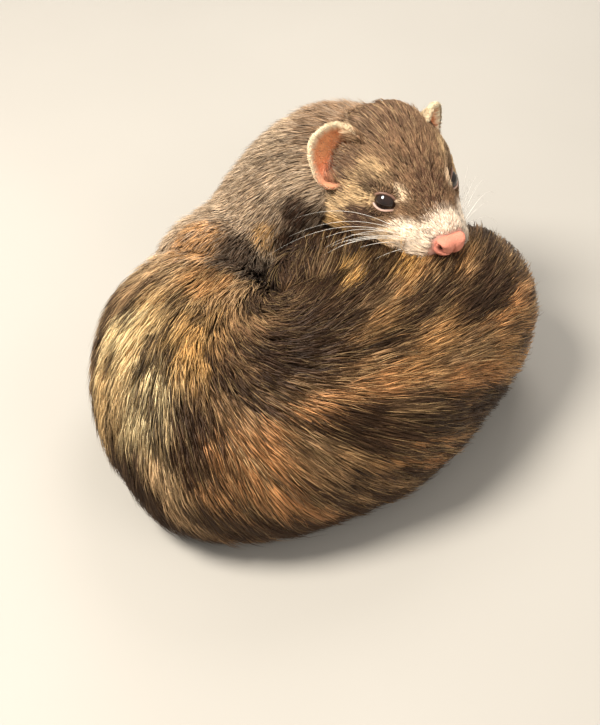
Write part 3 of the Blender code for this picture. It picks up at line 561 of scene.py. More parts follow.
def on_trunk(p):
    """Distance off the trunk's form, angle round the pivot, place down the flank, turn round the section."""
    dx, dy = p[:, 0] - PIVOT[0], p[:, 1] - PIVOT[1]
    angle = np.degrees(np.arctan2(dy, dx)) % 360
    angle = np.where(angle < 79, angle + 360, angle)
    reach = np.hypot(dx, dy)
    a = np.clip(angle, BREAST_TIP + 0.5, RUMP_TIP - 0.5)
    rows = between(TRUNK, a)
    share = np.maximum(trunk_share(a), 0.05)
    half, middle = (rows[:, 0] - PIT) / 2 * share, (rows[:, 0] + PIT) / 2
    level = rows[:, 1] * WIDEST
    high = np.where(p[:, 2] > level, rows[:, 1] - level, level + BELLY_PRESS) * share
    u, v = (reach - middle) / half, (p[:, 2] - level) / high
    off = (superellipse(u, v, SQUARENESS) - 1) * np.minimum(half, rows[:, 1] * 0.5)
    past = np.abs(angle - a)
    off = np.where(past > 0.01, np.maximum(off, 0) + np.radians(past) * reach, off)
    flank = reach + np.maximum(0, 64 - p[:, 2]) * 0.95
    return off, angle, flank, np.arctan2(v, u)


def on_tube(p, rows, count=48):
    """Distance off a tube, share along it, turn round it, and its direction there."""
    shares = np.linspace(0, 1, count)
    mid, radius, side, up, ahead = tube_frames(rows, shares)
    best = np.full(len(p), 1e9)
    which = np.zeros(len(p), int)
    for k in range(count):
        d = np.linalg.norm(p - mid[k], axis=1) - radius[k]
        closer = d < best
        best[closer] = d[closer]
        which[closer] = k
    v = p - mid[which]
    turn = np.arctan2((v * up[which]).sum(1), (v * side[which]).sum(1))
    return best, shares[which], turn, ahead[which]


def on_head(p):
    """Distance off the head's form, the point in the head's frame, and its turn."""
    h = to_head(p)
    back = np.clip(-h[:, 0], 2.5, SKULL_END - 1.0)
    top, bottom, half, level, share = head_half(back)
    share = np.maximum(share, 0.1)
    v = (h[:, 2] - level) / (np.where(h[:, 2] > level, top - level, level - bottom) * share)
    u = h[:, 1] / (half * share)
    off = (superellipse(u, v, HEAD_SQUARENESS) - 1) * half * share
    past = np.abs(-h[:, 0] - back)
    return np.maximum(off, 0) + past * (past > 0.5), h, np.arctan2(v, u)


def on_ear(h, n_head, name):
    """Whether points of the head's frame are on an ear, their share out to the rim, whether on its inside,
    the way out to the rim, and their places towards its front and its top."""
    at, aim, up, across = ear_axes(name)
    e = h - at
    a, b, c = e @ across / EAR_WIDE, e @ up / EAR_TALL, e @ aim
    share = np.sqrt(a * a + b * b)
    off = np.abs(c + EAR_DEEP * (1 - np.minimum(share, 1) ** 2) + EAR_THICK * 0.35)
    radial = unit(a[:, None] * across + b[:, None] * up)
    return (share < 1.15) & (off < 2.7), share, (n_head @ aim) > 0.05, radial, a * np.sign(across[0]), b


# The lie of the trunk's coat on its map, where a degree round the pivot counts as much as a millimetre down
# the flank: the angle from along the body towards down the flank
LIE_ANGLE = (150, 180, 200, 215, 230, 245, 260, 275, 290, 310, 330, 350, 380)
LIE_FLANK = (20, 45, 70, 90, 110, 130, 160)
LIE = np.array((
    (30, 40, 50, 55, 60, 60, 60), (34, 42, 52, 60, 66, 70, 72), (40, 44, 50, 60, 66, 70, 70),
    (38, 52, 64, 68, 72, 74, 72), (20, 46, 60, 68, 76, 78, 74), (-20, 15, 45, 58, 71, 74, 68),
    (-45, -30, 15, 40, 57, 63, 62), (-45, -35, -5, 15, 44, 54, 55), (-35, -20, -5, 3, 37, 47, 50),
    (-20, -12, -5, 8, 38, 46, 48), (-8, -6, 2, 20, 46, 50, 50), (0, 0, 8, 24, 42, 48, 50),
    (0, 5, 15, 30, 40, 48, 50),
), float)


def lie_at(angle, flank):
    return np.radians(bilinear(LIE_ANGLE, LIE_FLANK, LIE, angle, flank))


# Markings

CREAM, PALE, GOLD, TAN = srgb(230, 192, 134), srgb(250, 226, 172), srgb(212, 164, 96), srgb(188, 140, 88)
ORANGE, DUN, BROWN, DUSK = srgb(198, 141, 90), srgb(154, 120, 84), srgb(112, 82, 56), srgb(112, 84, 58)
DARK, BLACK, FAWN, ASH = srgb(60, 42, 30), srgb(38, 28, 22), srgb(208, 172, 128), srgb(214, 192, 168)
BEIGE, WHITE, MASK, HEAD_BROWN = srgb(218, 184, 138), srgb(244, 226, 204), srgb(80, 56, 44), srgb(128, 98, 72)
BRIDGE, BLUSH, NECK_BEIGE = srgb(98, 70, 52), srgb(232, 204, 170), srgb(178, 155, 128)
# The first three colours on the next line are painted shade, for the spots at the shoulder, in the hollow
# between the neck and the haunch and along the fold under the chin; LIP is the lips' own colour.
SHADE, HOLLOW_SHADOW, CREASE_SHADE, LIP = srgb(70, 54, 42), srgb(40, 29, 23), srgb(62, 40, 28), srgb(128, 88, 72)
RIM, EAR_PINK, EAR_RED = srgb(246, 228, 192), srgb(232, 158, 108), srgb(214, 104, 72)
EAR_HAIR, EAR_BACK, SNOUT_SKIN = srgb(78, 50, 38), srgb(206, 180, 140), srgb(226, 176, 158)

UNDERCOAT = (  # angle, distance over the flank, half length, half width, tilt, colour, strength
    (196, 36, 46, 13, 0, FAWN, 0.9), (182, 58, 30, 14, 30, FAWN, 0.85), (170, 56, 12, 16, 60, CREAM, 0.5),
    (196, 92, 30, 12, 75, DUN, 0.9), (214, 60, 24, 16, 40, CREAM, 0.9), (214, 84, 26, 12, 66, PALE, 1.0),
    (222, 116, 40, 14, 72, CREAM, 0.9), (231, 62, 24, 13, 55, GOLD, 0.7), (234, 98, 26, 11, 62, PALE, 0.9),
    (240, 130, 20, 8, 68, FAWN, 0.9), (252, 118, 26, 9, 60, ORANGE, 0.8), (232, 140, 30, 18, 70, DUN, 0.8),
    (246, 60, 20, 16, 50, BROWN, 0.8), (268, 52, 36, 30, -20, DUSK, 0.95),
    (276, 88, 40, 6.5, -10, ORANGE, 0.95),
    (306, 79, 34, 5.5, -8, TAN, 0.8), (257, 109, 22, 9, 52, ORANGE, 0.95),
    (266, 131, 30, 10, 52, ORANGE, 0.95),
    (285, 110, 24, 10, 30, TAN, 0.8), (296, 125, 26, 8, 36, ORANGE, 0.9), (313, 102, 26, 7, 24, ORANGE, 0.9),
    (334, 96, 26, 7, 22, ORANGE, 0.9), (300, 63, 44, 7, -14, TAN, 0.8), (296, 36, 22, 7, -25, GOLD, 0.95),
    (329, 47, 32, 7, -8, GOLD, 0.85), (338, 118, 36, 14, 40, TAN, 0.9), (338, 64, 30, 8, 0, TAN, 0.8),
    (366, 60, 24, 30, 0, BROWN, 0.8), (366, 104, 24, 26, 20, BROWN, 0.6),
)
STREAKED = (  # the same for how much of the coat is dark there
    (196, 36, 46, 12, 0, 0.28, 0.9), (196, 92, 30, 12, 75, 0.40, 0.9), (176, 56, 24, 14, 45, 0.28, 0.9),
    (214, 66, 26, 17, 60, 0.14, 0.95), (215, 86, 22, 10, 68, 0.08, 1.0), (219, 112, 26, 8, 75, 0.3, 0.9),
    (231, 62, 24, 12, 55, 0.3, 0.9), (233, 100, 20, 9, 62, 0.14, 1.0), (246, 78, 24, 7, 58, 0.7, 0.8),
    (252, 116, 24, 7, 60, 0.36, 1.0), (247, 104, 16, 2.4, 60, 0.85, 0.85), (249, 124, 16, 2.2, 60, 0.85, 0.8),
    (234, 142, 30, 14, 65, 0.62, 0.9), (268, 52, 40, 30, -25, 0.78, 1.0), (262, 62, 16, 16, 0, 0.92, 0.8),
    (246, 90, 18, 7, 50, 0.78, 0.9), (276, 88, 34, 5, -10, 0.12, 1.0), (282, 96, 22, 7.5, 8, 0.97, 1.0),
    (306, 79, 30, 4.5, -8, 0.45, 0.9), (258, 110, 16, 6, 52, 0.36, 1.0), (266, 132, 22, 6, 52, 0.42, 1.0),
    (288, 113, 26, 5, 30, 0.85, 1.0), (300, 104, 26, 2.6, 14, 0.25, 0.9), (296, 125, 20, 6, 36, 0.2, 1.0),
    (309, 112, 20, 6, 30, 0.8, 0.95), (316, 99, 14, 5, 20, 0.25, 0.95), (331, 79, 30, 7.5, 0, 1.0, 1.0),
    (335, 97, 20, 5, 20, 0.2, 0.95), (296, 71, 26, 3.5, -10, 0.8, 0.8), (300, 63, 36, 5, -14, 0.45, 0.8),
    (296, 36, 18, 6, -25, 0.2, 1.0), (312, 44, 22, 6, -22, 0.7, 0.8), (329, 48, 26, 6, -8, 0.25, 0.95),
    (336, 35, 26, 8, 0, 0.85, 0.95), (342, 62, 26, 7, 0, 0.5, 0.8), (340, 120, 36, 12, 40, 0.5, 0.9),
    # The strips past about 140 mm down the flank darken the body's lower edge: the coat's dark brown there,
    # deepened as painted shade where the body turns under.
    (328, 134, 30, 9, 30, 0.85, 0.8), (298, 126, 22, 5, 36, 0.25, 0.9), (240, 144, 46, 17, 31, 1.2, 1.0),
    (215, 122, 18, 8, 50, 0.8, 0.9), (268, 157, 60, 17, 0, 1.2, 0.95), (316, 146, 60, 14, 0, 1.0, 0.95),
    (364, 60, 22, 24, 0, 0.7, 0.9), (366, 100, 24, 20, 10, 0.75, 0.9), (370, 76, 14, 26, 0, 0.9, 0.9),
)
HEAD_PATCHES = (  # x, |y|, z and sizes in the head's frame, colour, strength
    ((-54, 0, 28), (24, 24, 14), HEAD_BROWN, 0.9), ((-52, 8, 28), (14, 10, 9), BRIDGE, 0.55),
    ((-47, 0, 28), (16, 3.0, 8), BRIDGE, 0.4), ((-38, 23, 8), (7, 8, 10), BEIGE, 1.0),
    ((-36, 17, 18), (6, 4.5, 5), BEIGE, 0.75), ((-43, 28, -3), (9, 8, 10), BEIGE, 1.0),
    ((-32, 14.5, 17), (6, 3.5, 4), BEIGE, 0.45), ((-46.5, 26, 9), (5.5, 7, 10), EAR_HAIR, 1.0),
    ((-47, 22, 17), (6, 5, 6), BRIDGE, 0.9), ((-34, 24, -12), (14, 8, 6), GOLD, 0.85),
    ((-31.5, 23, -2), (7.5, 7, 7.5), MASK, 0.98), ((-36, 18, 13), (4.5, 6, 4.5), MASK, 0.75),
    ((-29, 13, 15.5), (5, 3.5, 4), MASK, 0.5), ((-20, 0, 15), (9.5, 7.5, 8), BRIDGE, 0.95),
    ((-30, 0, 20), (9, 6, 6), BRIDGE, 0.6), ((-23.5, 11.5, 13), (4.6, 3, 3.4), BLUSH, 0.95),
    ((-4, 0, 0), (11, 14, 17), WHITE, 1.0), ((-12, 13, -1), (9.5, 7, 8.5), WHITE, 1.0),
    ((-18.5, 16, -5), (6, 6, 5.5), BLUSH, 0.85), ((-14, 0, -16), (13, 13, 6), WHITE, 0.8),
    # The brown under the throat is painted shade under the jaw; the dark patch after it is the neck's dark
    # brown behind the cheek.
    ((-40, 0, -30), (20, 20, 8), BROWN, 0.8), ((-54, 27, -12), (8, 10, 12), DARK, 0.85),
)
# The darkest spots are painted shade: at the shoulder, in the hollow between the neck and the haunch, and
# along the fold under the chin where the head lies on the body.
SPOTS = (  # on the neck and about the waist: middle, radius, colour, strength
    ((-50, 28, 66), 12, TAN, 0.8), ((-43, 8, 64), 10, TAN, 0.8), ((-33, 24, 65), 10, SHADE, 0.95),
    ((-24, 18, 55), 10, HOLLOW_SHADOW, 0.95), ((-39, 15, 65), 7, SHADE, 0.7), ((-21, 33, 66), 7, GOLD, 0.6),
    ((-7, 35, 77), 8, CREASE_SHADE, 0.95), ((-12, 32, 64), 8, CREASE_SHADE, 0.95), ((-2, 29, 71), 10, CREASE_SHADE, 0.95),
    ((8, 26, 70), 10, CREASE_SHADE, 0.9), ((12, 58, 104), 20, HEAD_BROWN, 0.75),
)
DEGREE_MM = 1.6  # a degree round the pivot, on the trunk's map


def laid(base, x, y, patches):
    """The patches' colours or numbers laid over a base, one after the other."""
    for px, py, long, wide, tilt, colour, strength in patches:
        q = math.radians(tilt)
        dx, dy = (x - px) * DEGREE_MM, y - py
        c, s = math.cos(q), math.sin(q)
        d = np.hypot((dx * c + dy * s) / long, (dy * c - dx * s) / wide)
        base = mixed(base, colour, (strength * (1 - ease(d, 0.55, 1.35)))[:, None])
    return base


# Streaks: noise over the flank smeared along the lie of the coat
STREAK_ANGLES, STREAK_FLANKS = np.arange(78.0, 442.0, 0.6), np.arange(0.0, 190.0, 0.8)


def streak_table(size, reach, seed, step=1.6):
    """Noise of a size in millimetres, averaged along the lie over a reach each way, spread over 0 to 1."""
    angle, flank = np.meshgrid(STREAK_ANGLES, STREAK_FLANKS, indexing="ij")
    places = [(angle, flank)]
    for way in (1, -1):
        a, f = angle, flank
        for _ in range(int(reach / step)):
            q = lie_at(a, f)
            a, f = a + way * step * np.cos(q), f + way * step * np.sin(q)
            places.append((a, f))
    total = sum(noise((a + 400) * DEGREE_MM / size, (f + 400) / size, seed) for a, f in places)
    flat = np.argsort(np.argsort(total.ravel()))
    return (flat / flat.size).reshape(total.shape)


STREAKS = streak_table(5.0, 26.0, 41), streak_table(1.9, 32.0, 42)
COAT = {  # length, width and rise of the tufts, and how many to a square millimetre
    "trunk": (21.0, 0.6, 5.2, 1.08), "neck": (8.5, 0.5, 4.2, 2.2), "tail": (18.0, 0.9, 4.6, 1.08),
    "haunch": (11.0, 0.8, 3.0, 0.7), **dict.fromkeys(LEGS, (4.2, 0.55, 1.2, 1.6)),
}


def trunk_look(p, n, fray, rng):
    """Distance off the trunk, lie, place in the unwrap, colour and tuft there, and how dark it is."""
    count = len(p)
    off, angle, flank, turn = on_trunk(p)
    a = np.radians(angle)
    ahead = np.stack([-np.sin(a), np.cos(a), np.zeros(count)], 1)
    lie = lie_at(angle, flank)
    down = unit(np.cross(ahead, n))
    degree = np.radians(np.maximum(np.hypot(p[:, 0] - PIVOT[0], p[:, 1] - PIVOT[1]), 35.0))
    flow = unit(ahead * (np.cos(lie) * degree)[:, None] + down * np.sin(lie)[:, None])
    x, y = angle + fray * 2.0 * np.cos(lie), flank + fray * 3.2 * np.sin(lie)
    wide, fine = (bilinear(STREAK_ANGLES, STREAK_FLANKS, table, angle, flank) for table in STREAKS)
    drift = (wide - 0.5) * 5
    base = laid(np.repeat(DUN[None], count, 0), x + drift, y + drift, UNDERCOAT)
    amount = 0.5 + 0.76 * (laid(np.full((count, 1), 0.5), x, y, STREAKED)[:, 0] - 0.5)
    grain = (0.56 * wide + 0.44 * fine - 0.5) * 1.45 + rng.normal(0, 0.05, count)
    light = ease((1 - amount) * 0.5 + (fine - 0.5), 0.45, 0.8)[:, None]
    dark = ease(amount + grain, 0.44, 0.56)[:, None]
    colour = mixed(mixed(base, PALE, 0.35 * light), DARK, 0.93 * dark)
    return (off, flow, np.stack([(angle - 80) / 360, wrapped(turn)], 1), colour, COAT["trunk"]), amount


def limb_look(p, name, rows):
    """The same for the neck, the tail or a leg."""
    off, share, turn, ahead = on_tube(p, rows)
    colour = DARK * 0.85 if name == "tail" else BLACK * 1.2
    if name == "neck":
        colour = mixed(NECK_BEIGE, DUSK, 0.3 * ease(noise(share * 7, turn * 5.0, 8), 0.35, 0.8)[:, None])
    return off, ahead, np.stack([share, wrapped(turn)], 1), colour, COAT[name]


def head_look(p, fray):
    """The same for the head, and the points in its frame."""
    off, h, turn = on_head(p)
    back, up = -h[:, 0], h[:, 2]
    sink = 0.1 * ease(up, 8, 20) - 0.12 * ease(-up, 0, 14)
    flow = unit(np.stack([-np.ones(len(p)), 0.3 * h[:, 1] / 20, sink], 1)) @ TURN.T
    spots = h + fray[:, None] * np.array([1.6, 0.8, 0.8])
    colour = HEAD_BROWN
    for middle, sizes, tone, strength in HEAD_PATCHES:
        d = np.sqrt(oval_square(spots, middle, sizes))
        colour = mixed(colour, tone, (strength * (1 - ease(d, 0.7, 1.2)))[:, None])
    off_lips = up - np.interp(back, MOUTH[:, 0], MOUTH[:, 1])
    colour = mixed(colour, LIP, (0.65 * bell(off_lips, 0.6) * (back < 21))[:, None])
    nape, cheek = ease(back, 50, 66), ease(back, 36, 50) * (1 - ease(up, 0, 14))
    shape = (
        np.interp(back, (0, 6, 12, 20, 30, 40, 50, 62, 78), (0.9, 1.5, 2.3, 3.2, 4.6, 6.2, 8.0, 9.4, 9.4))
        + 3.0 * cheek + 4.5 * nape,
        np.interp(back, (0, 6, 14, 24, 34, 46, 60, 78), (0.2, 0.24, 0.3, 0.36, 0.42, 0.52, 0.65, 0.8)),
        np.interp(back, (0, 8, 20, 34, 50, 66, 78), (0.25, 0.5, 0.8, 1.1, 1.9, 2.8, 4.0))
        + 1.6 * cheek + 1.2 * nape,
    )
    return (off, flow, np.stack([np.clip(back / 80, 0, 1), wrapped(turn)], 1), colour, shape), h


def add_ear(out, n_head, name):
    """Changes what was found to the ear's own wherever a point is on it."""
    mine, share, inner, radial, front, tall = on_ear(out["h"], n_head, name)
    slant = front - 0.6 * tall
    out["ear"] |= mine
    out["inner"] |= mine & inner
    out["ear_share"] = np.where(mine, share, out["ear_share"])
    edge = ease(share, 0.72, 0.94) * (1 - 0.85 * ease(front, 0.45, 0.85))
    edge = edge * (1 - 0.85 * ease(-tall, 0.3, 0.85))
    shade = ease(slant, -0.3, 0.3) * (1 - ease(share, 0.78, 0.98))
    brown = np.maximum(ease(front, 0.5, 0.85), ease(front - 0.9 * tall, 0.68, 0.95))[:, None]
    flesh = mixed(EAR_PINK, EAR_RED, 0.6 * (1 - ease(tall, -0.6, 0.2))[:, None])
    flesh = mixed(flesh, EAR_HAIR, 0.85 * shade[:, None])
    colour = mixed(np.where(inner[:, None], flesh, EAR_BACK), RIM, edge[:, None])
    out["colour"] = np.where(mine[:, None], mixed(colour, HEAD_BROWN, brown), out["colour"])
    hairy = mine & (((slant > 0.0) & inner & (share < 0.9)) | (front > 0.55) | (slant > 0.8))
    out["hairy"] |= hairy
    back_way = unit(np.array([-1.0, 0.25 * np.sign(EARS[name][0][1]), 0.35])) @ TURN.T
    out["flow"] = np.where(mine[:, None], radial @ TURN.T, out["flow"])
    out["flow"] = np.where(hairy[:, None], back_way, out["flow"])
    out["length"] = np.where(mine, 2.2 + 1.5 * (share > 0.75) + 3.4 * hairy, out["length"])
    out["width"] = np.where(mine, 0.26, out["width"])
    out["rise"] = np.where(mine, 0.7 + 0.5 * (share > 0.85) + 0.8 * hairy, out["rise"])


def survey(p, n, seed=3):
    """Everything the coat needs to know at points of the skin with their outward directions."""
    rng = np.random.default_rng(seed)
    count = len(p)
    fray = rng.normal(0, 1, count)
    looks = {}
    looks["trunk"], amount = trunk_look(p, n, fray, rng)
    for name, rows in (("neck", NECK), ("tail", TAIL), *LEGS.items()):
        looks[name] = limb_look(p, name, rows)
    local = (p - HAUNCH[0]) / HAUNCH[1]
    place = np.stack([wrapped(np.arctan2(local[:, 1], local[:, 0])), local[:, 2] * 0.45 + 0.5], 1)
    off = (np.linalg.norm(local, axis=1) - 1) * 26
    looks["haunch"] = off, looks["trunk"][1], place, DARK, COAT["haunch"]
    looks["head"], h = head_look(p, fray)
    offs = np.stack([look[0] for look in looks.values()], 1)
    w = np.exp(-np.maximum(offs - offs.min(1, keepdims=True), 0) / 2.6)
    w /= w.sum(1, keepdims=True)
    own = np.array(list(looks))[np.argmin(offs, 1)]
    out = {"own": own, "h": h, "dark": amount, "shut": np.zeros(count, bool), "ear": np.zeros(count, bool),
           "inner": np.zeros(count, bool), "hairy": np.zeros(count, bool), "ear_share": np.zeros(count)}
    out["flow"] = sum(w[:, k, None] * look[1] for k, look in enumerate(looks.values()))
    out["colour"] = sum(w[:, k, None] * look[3] for k, look in enumerate(looks.values()))
    for i, what in enumerate(("length", "width", "rise")):
        out[what] = sum(w[:, k] * look[4][i] for k, look in enumerate(looks.values()))
    body = np.isin(own, ("trunk", "neck", "haunch"))
    for middle, radius, tone, strength in SPOTS:
        near = np.linalg.norm(p - middle, axis=1) / radius + fray * 0.06
        out["colour"] = mixed(out["colour"], tone, (strength * body * (1 - ease(near, 0.6, 1.3)))[:, None])
    out["uv"] = np.zeros((count, 2))
    for name, look in looks.items():
        mine = own == name
        left, bottom, wide, high = CHARTS[name]
        out["uv"][mine] = np.clip(look[2][mine], 0, 1) * (wide, high) + (left, bottom)
    near_eye = np.zeros(count)
    for side, (middle, long, high, aim) in EYES.items():
        v = p - middle
        a, b, c = v @ long, v @ high, v @ aim
        rho = np.sqrt(a * a + (b * 1.3) ** 2)
        w = np.where(c > 0, 1 - ease(rho, 5.0, 11.0), 0.0)
        out["flow"] = mixed(out["flow"], unit(a[:, None] * long + b[:, None] * high), w[:, None])
        near_eye = np.maximum(near_eye, w)
        out["shut"] |= (c > 0) & (opening(side, a, b) < 1.24)
    out["length"] *= 1 - 0.6 * near_eye
    out["rise"] *= 1 - 0.5 * near_eye
    for name in EARS:
        add_ear(out, n @ TURN, name)
    return out


# The coat

COAT_SEED, CLUMP_SEED, GUARDS, QUICK_SHARE, CLUMP_SHARE = 17, 4, 0.42, 0.25, 0.035
PIECE_MOST, UV_PATCH, FLOOR_CLEAR = 190000, 0.003, 0.35
# The shade along a tuft is painted shade: darkest at the root down in the coat, rising to a little above the
# tuft's colour at the tip.
TUFTS = {  # steps of a tuft: at each point its lift, pull to its clump, width and shade; its clump's points
    3: ((-0.12, 0.45, 0.8, 1.0), (0.0, 0.18, 0.38, 0.55), (0.8, 1.0, 0.75, 0.0), (0.42, 0.8, 1.02, 1.2),
        (0, 1, 2, 3)),
    2: ((-0.25, 0.6, 1.0), (0.0, 0.1, 0.22), (0.9, 0.9, 0.0), (0.55, 0.95, 1.15), (0, 2, 3)),
}


def scattered(verts, faces, density, rng):
    """Points spread evenly over the skin at a density per square millimetre given for each face."""
    a, b, c = (verts[faces[:, k]] for k in range(3))
    area = 0.5 * np.linalg.norm(np.cross(b - a, c - a), axis=1)
    want = np.cumsum(area * density)
    count = int(want[-1])
    marks = (np.arange(count) + rng.random(count)) * want[-1] / count
    which = np.minimum(np.searchsorted(want, marks), len(faces) - 1)
    r, s = np.sqrt(rng.random(count)), rng.random(count)
    points = a[which] * (1 - r)[:, None] + b[which] * (r * (1 - s))[:, None] + c[which] * (r * s)[:, None]
    return points, which


def marched(points, normals, flow, length, steps, tree, normal_of):
    """Walks from each point along the flow over the skin; gives the places and outward directions passed."""
    spots, ups = [points], [normals]
    d = unit(flow - (flow * normals).sum(1, keepdims=True) * normals)
    for _ in range(steps):
        found = [tree.find_nearest(v) for v in spots[-1] + d * (length / steps)[:, None]]
        n = normal_of[[hit[2] for hit in found]]
        d = unit(d - (d * n).sum(1, keepdims=True) * n)
        spots.append(np.array([hit[0] for hit in found], float))
        ups.append(n)
    return np.stack(spots, 1), np.stack(ups, 1)


def blades(name, lines, ups, widths, colours, uv):
    """Objects of closed three-sided blades along lines of points (N, K, 3); the last point is the tip."""
    count, k = lines.shape[:2]
    ahead = np.gradient(lines, axis=1)
    side = unit(np.cross(ups, ahead))
    up = unit(np.cross(ahead, side))
    half = widths[:, :, None] / 2
    rings = np.stack([lines + side * half, lines - side * half, lines + up * half * 0.8], 2)[:, :-1]
    verts = np.concatenate([rings.reshape(count, -1, 3), lines[:, -1:]], 1)
    verts[..., 2] = np.maximum(verts[..., 2], FLOOR_CLEAR)
    per = verts.shape[1]
    faces = [(0, 2, 1)]
    for a in range(0, 3 * (k - 2), 3):
        for i, j in ((0, 1), (1, 2), (2, 0)):
            faces += [(a + i, a + j, a + 3 + j), (a + i, a + 3 + j, a + 3 + i)]
    faces = np.array(faces + [(per - 4 + i, per - 4 + j, per - 1) for i, j in ((0, 1), (1, 2), (2, 0))])
    vertex_colours = np.concatenate([np.repeat(colours[:, :-1], 3, 1), colours[:, -1:]], 1)
    local = [(x, y) for y in np.linspace(0, 1, k)[:-1] for x in (0.1, 0.9, 0.5)] + [(0.5, 1.0)]
    vertex_uv = uv[:, None] + (np.array(local)[None] - 0.5) * UV_PATCH
    room = PIECE_MOST // len(faces)
    made = []
    for number, first in enumerate(range(0, count, room), 1):
        part = slice(first, min(first + room, count))
        f = (faces[None] + (np.arange(part.stop - first) * per)[:, None, None]).reshape(-1, 3)
        thing = mesh_of(f"{name}_{number}", verts[part].reshape(-1, 3), f)
        paint(thing, vertex_colours[part].reshape(-1, 3))
        layer = thing.data.uv_layers.new(name="OFBake")
        layer.data.foreach_set("uv", vertex_uv[part].reshape(-1, 2)[f.ravel()].astype(np.float32).ravel())
        made.append(thing)
    return made


def density_of(centres, normals):
    """Tufts per square millimetre over the skin."""
    info = survey(centres, normals)
    own, ear = info["own"], info["ear"]
    backs, counts = (0, 8, 16, 26, 36, 48, 62, 80), (9.0, 8.0, 6.5, 5.0, 3.6, 2.4, 1.5, 1.0)
    want = np.interp(-info["h"][:, 0], backs, counts)
    for name, shape in COAT.items():
        want[own == name] = shape[3]
    want = np.where(ear, np.where(info["inner"], 0.9, 6.0), want)
    want = np.where(info["hairy"], 4.0, want)
    want = np.where(ear & (info["ear_share"] > 0.9), 7.0, want)
    want *= np.where(normals[:, 2] < -0.5, 0.3, 1.0)
    want *= np.where(centres[:, 2] < 1.2, 0.0, 1.0)
    return want * (1 + 0.35 * (normals[:, 2] > 0.2) * (own == "trunk"))


def slot_of(info):
    """The group each tuft's object is named after: face, coat, points or ear."""
    slot = np.where(info["own"] == "head", "face", "coat").astype("<U8")
    slot[np.isin(info["own"], [*LEGS, "tail"])] = "points"
    slot[info["ear"]] = "ear"
    return slot


def tuft_colours(info, clump_colour, clump_tone, guard, ramp, rng):
    """Colours along each tuft: its place's, partly its clump's, with dark and light guard hairs."""
    count, ear = len(guard), info["ear"]
    trunk, neck, haunch = (info["own"] == name for name in ("trunk", "neck", "haunch"))
    body = trunk | neck | haunch
    base = mixed(info["colour"], clump_colour, np.where(trunk, 0.5, 0.0)[:, None])
    bright = base.mean(1)
    tone = np.clip(clump_tone * 0.16 + rng.normal(0, 0.14, count), -0.45, 0.45) * np.where(ear, 0.3, 1.0)
    chance = np.where(trunk, 0.2 + 0.6 * info["dark"], np.where(neck, 0.3, 0.5))
    dark = guard & (rng.random(count) < chance) & ~ear
    pale = ease(bright, 0.3, 0.62)
    tint = mixed(base, DARK, (dark * np.where(body, 0.75, 0.5 * (1 - pale)))[:, None])
    mix = np.where(neck, 0.6, np.where(body, 0.08 + 0.42 * (1 - info["dark"]), 0.42)) * (guard & ~dark)
    ash = ASH * np.minimum(0.25 + 1.8 * bright, 1.1)[:, None]
    light = np.where(neck[:, None], ash, np.where(body[:, None], CREAM, BEIGE))
    tint = mixed(tint, light, mix[:, None]) * (1 + tone)[:, None]
    colours = tint[:, None] * np.array(ramp)[None, :, None]
    # Pale tufts off the body get less of the painted shade at their roots.
    colours[:, 0] *= 1 + 0.5 * (pale * ~body)[:, None]
    tipped = (neck & ~dark & (rng.random(count) < 0.5))[:, None]
    colours[:, -1] *= 1 + 0.6 * tipped
    colours[:, -2] *= 1 + 0.3 * tipped
    return colours


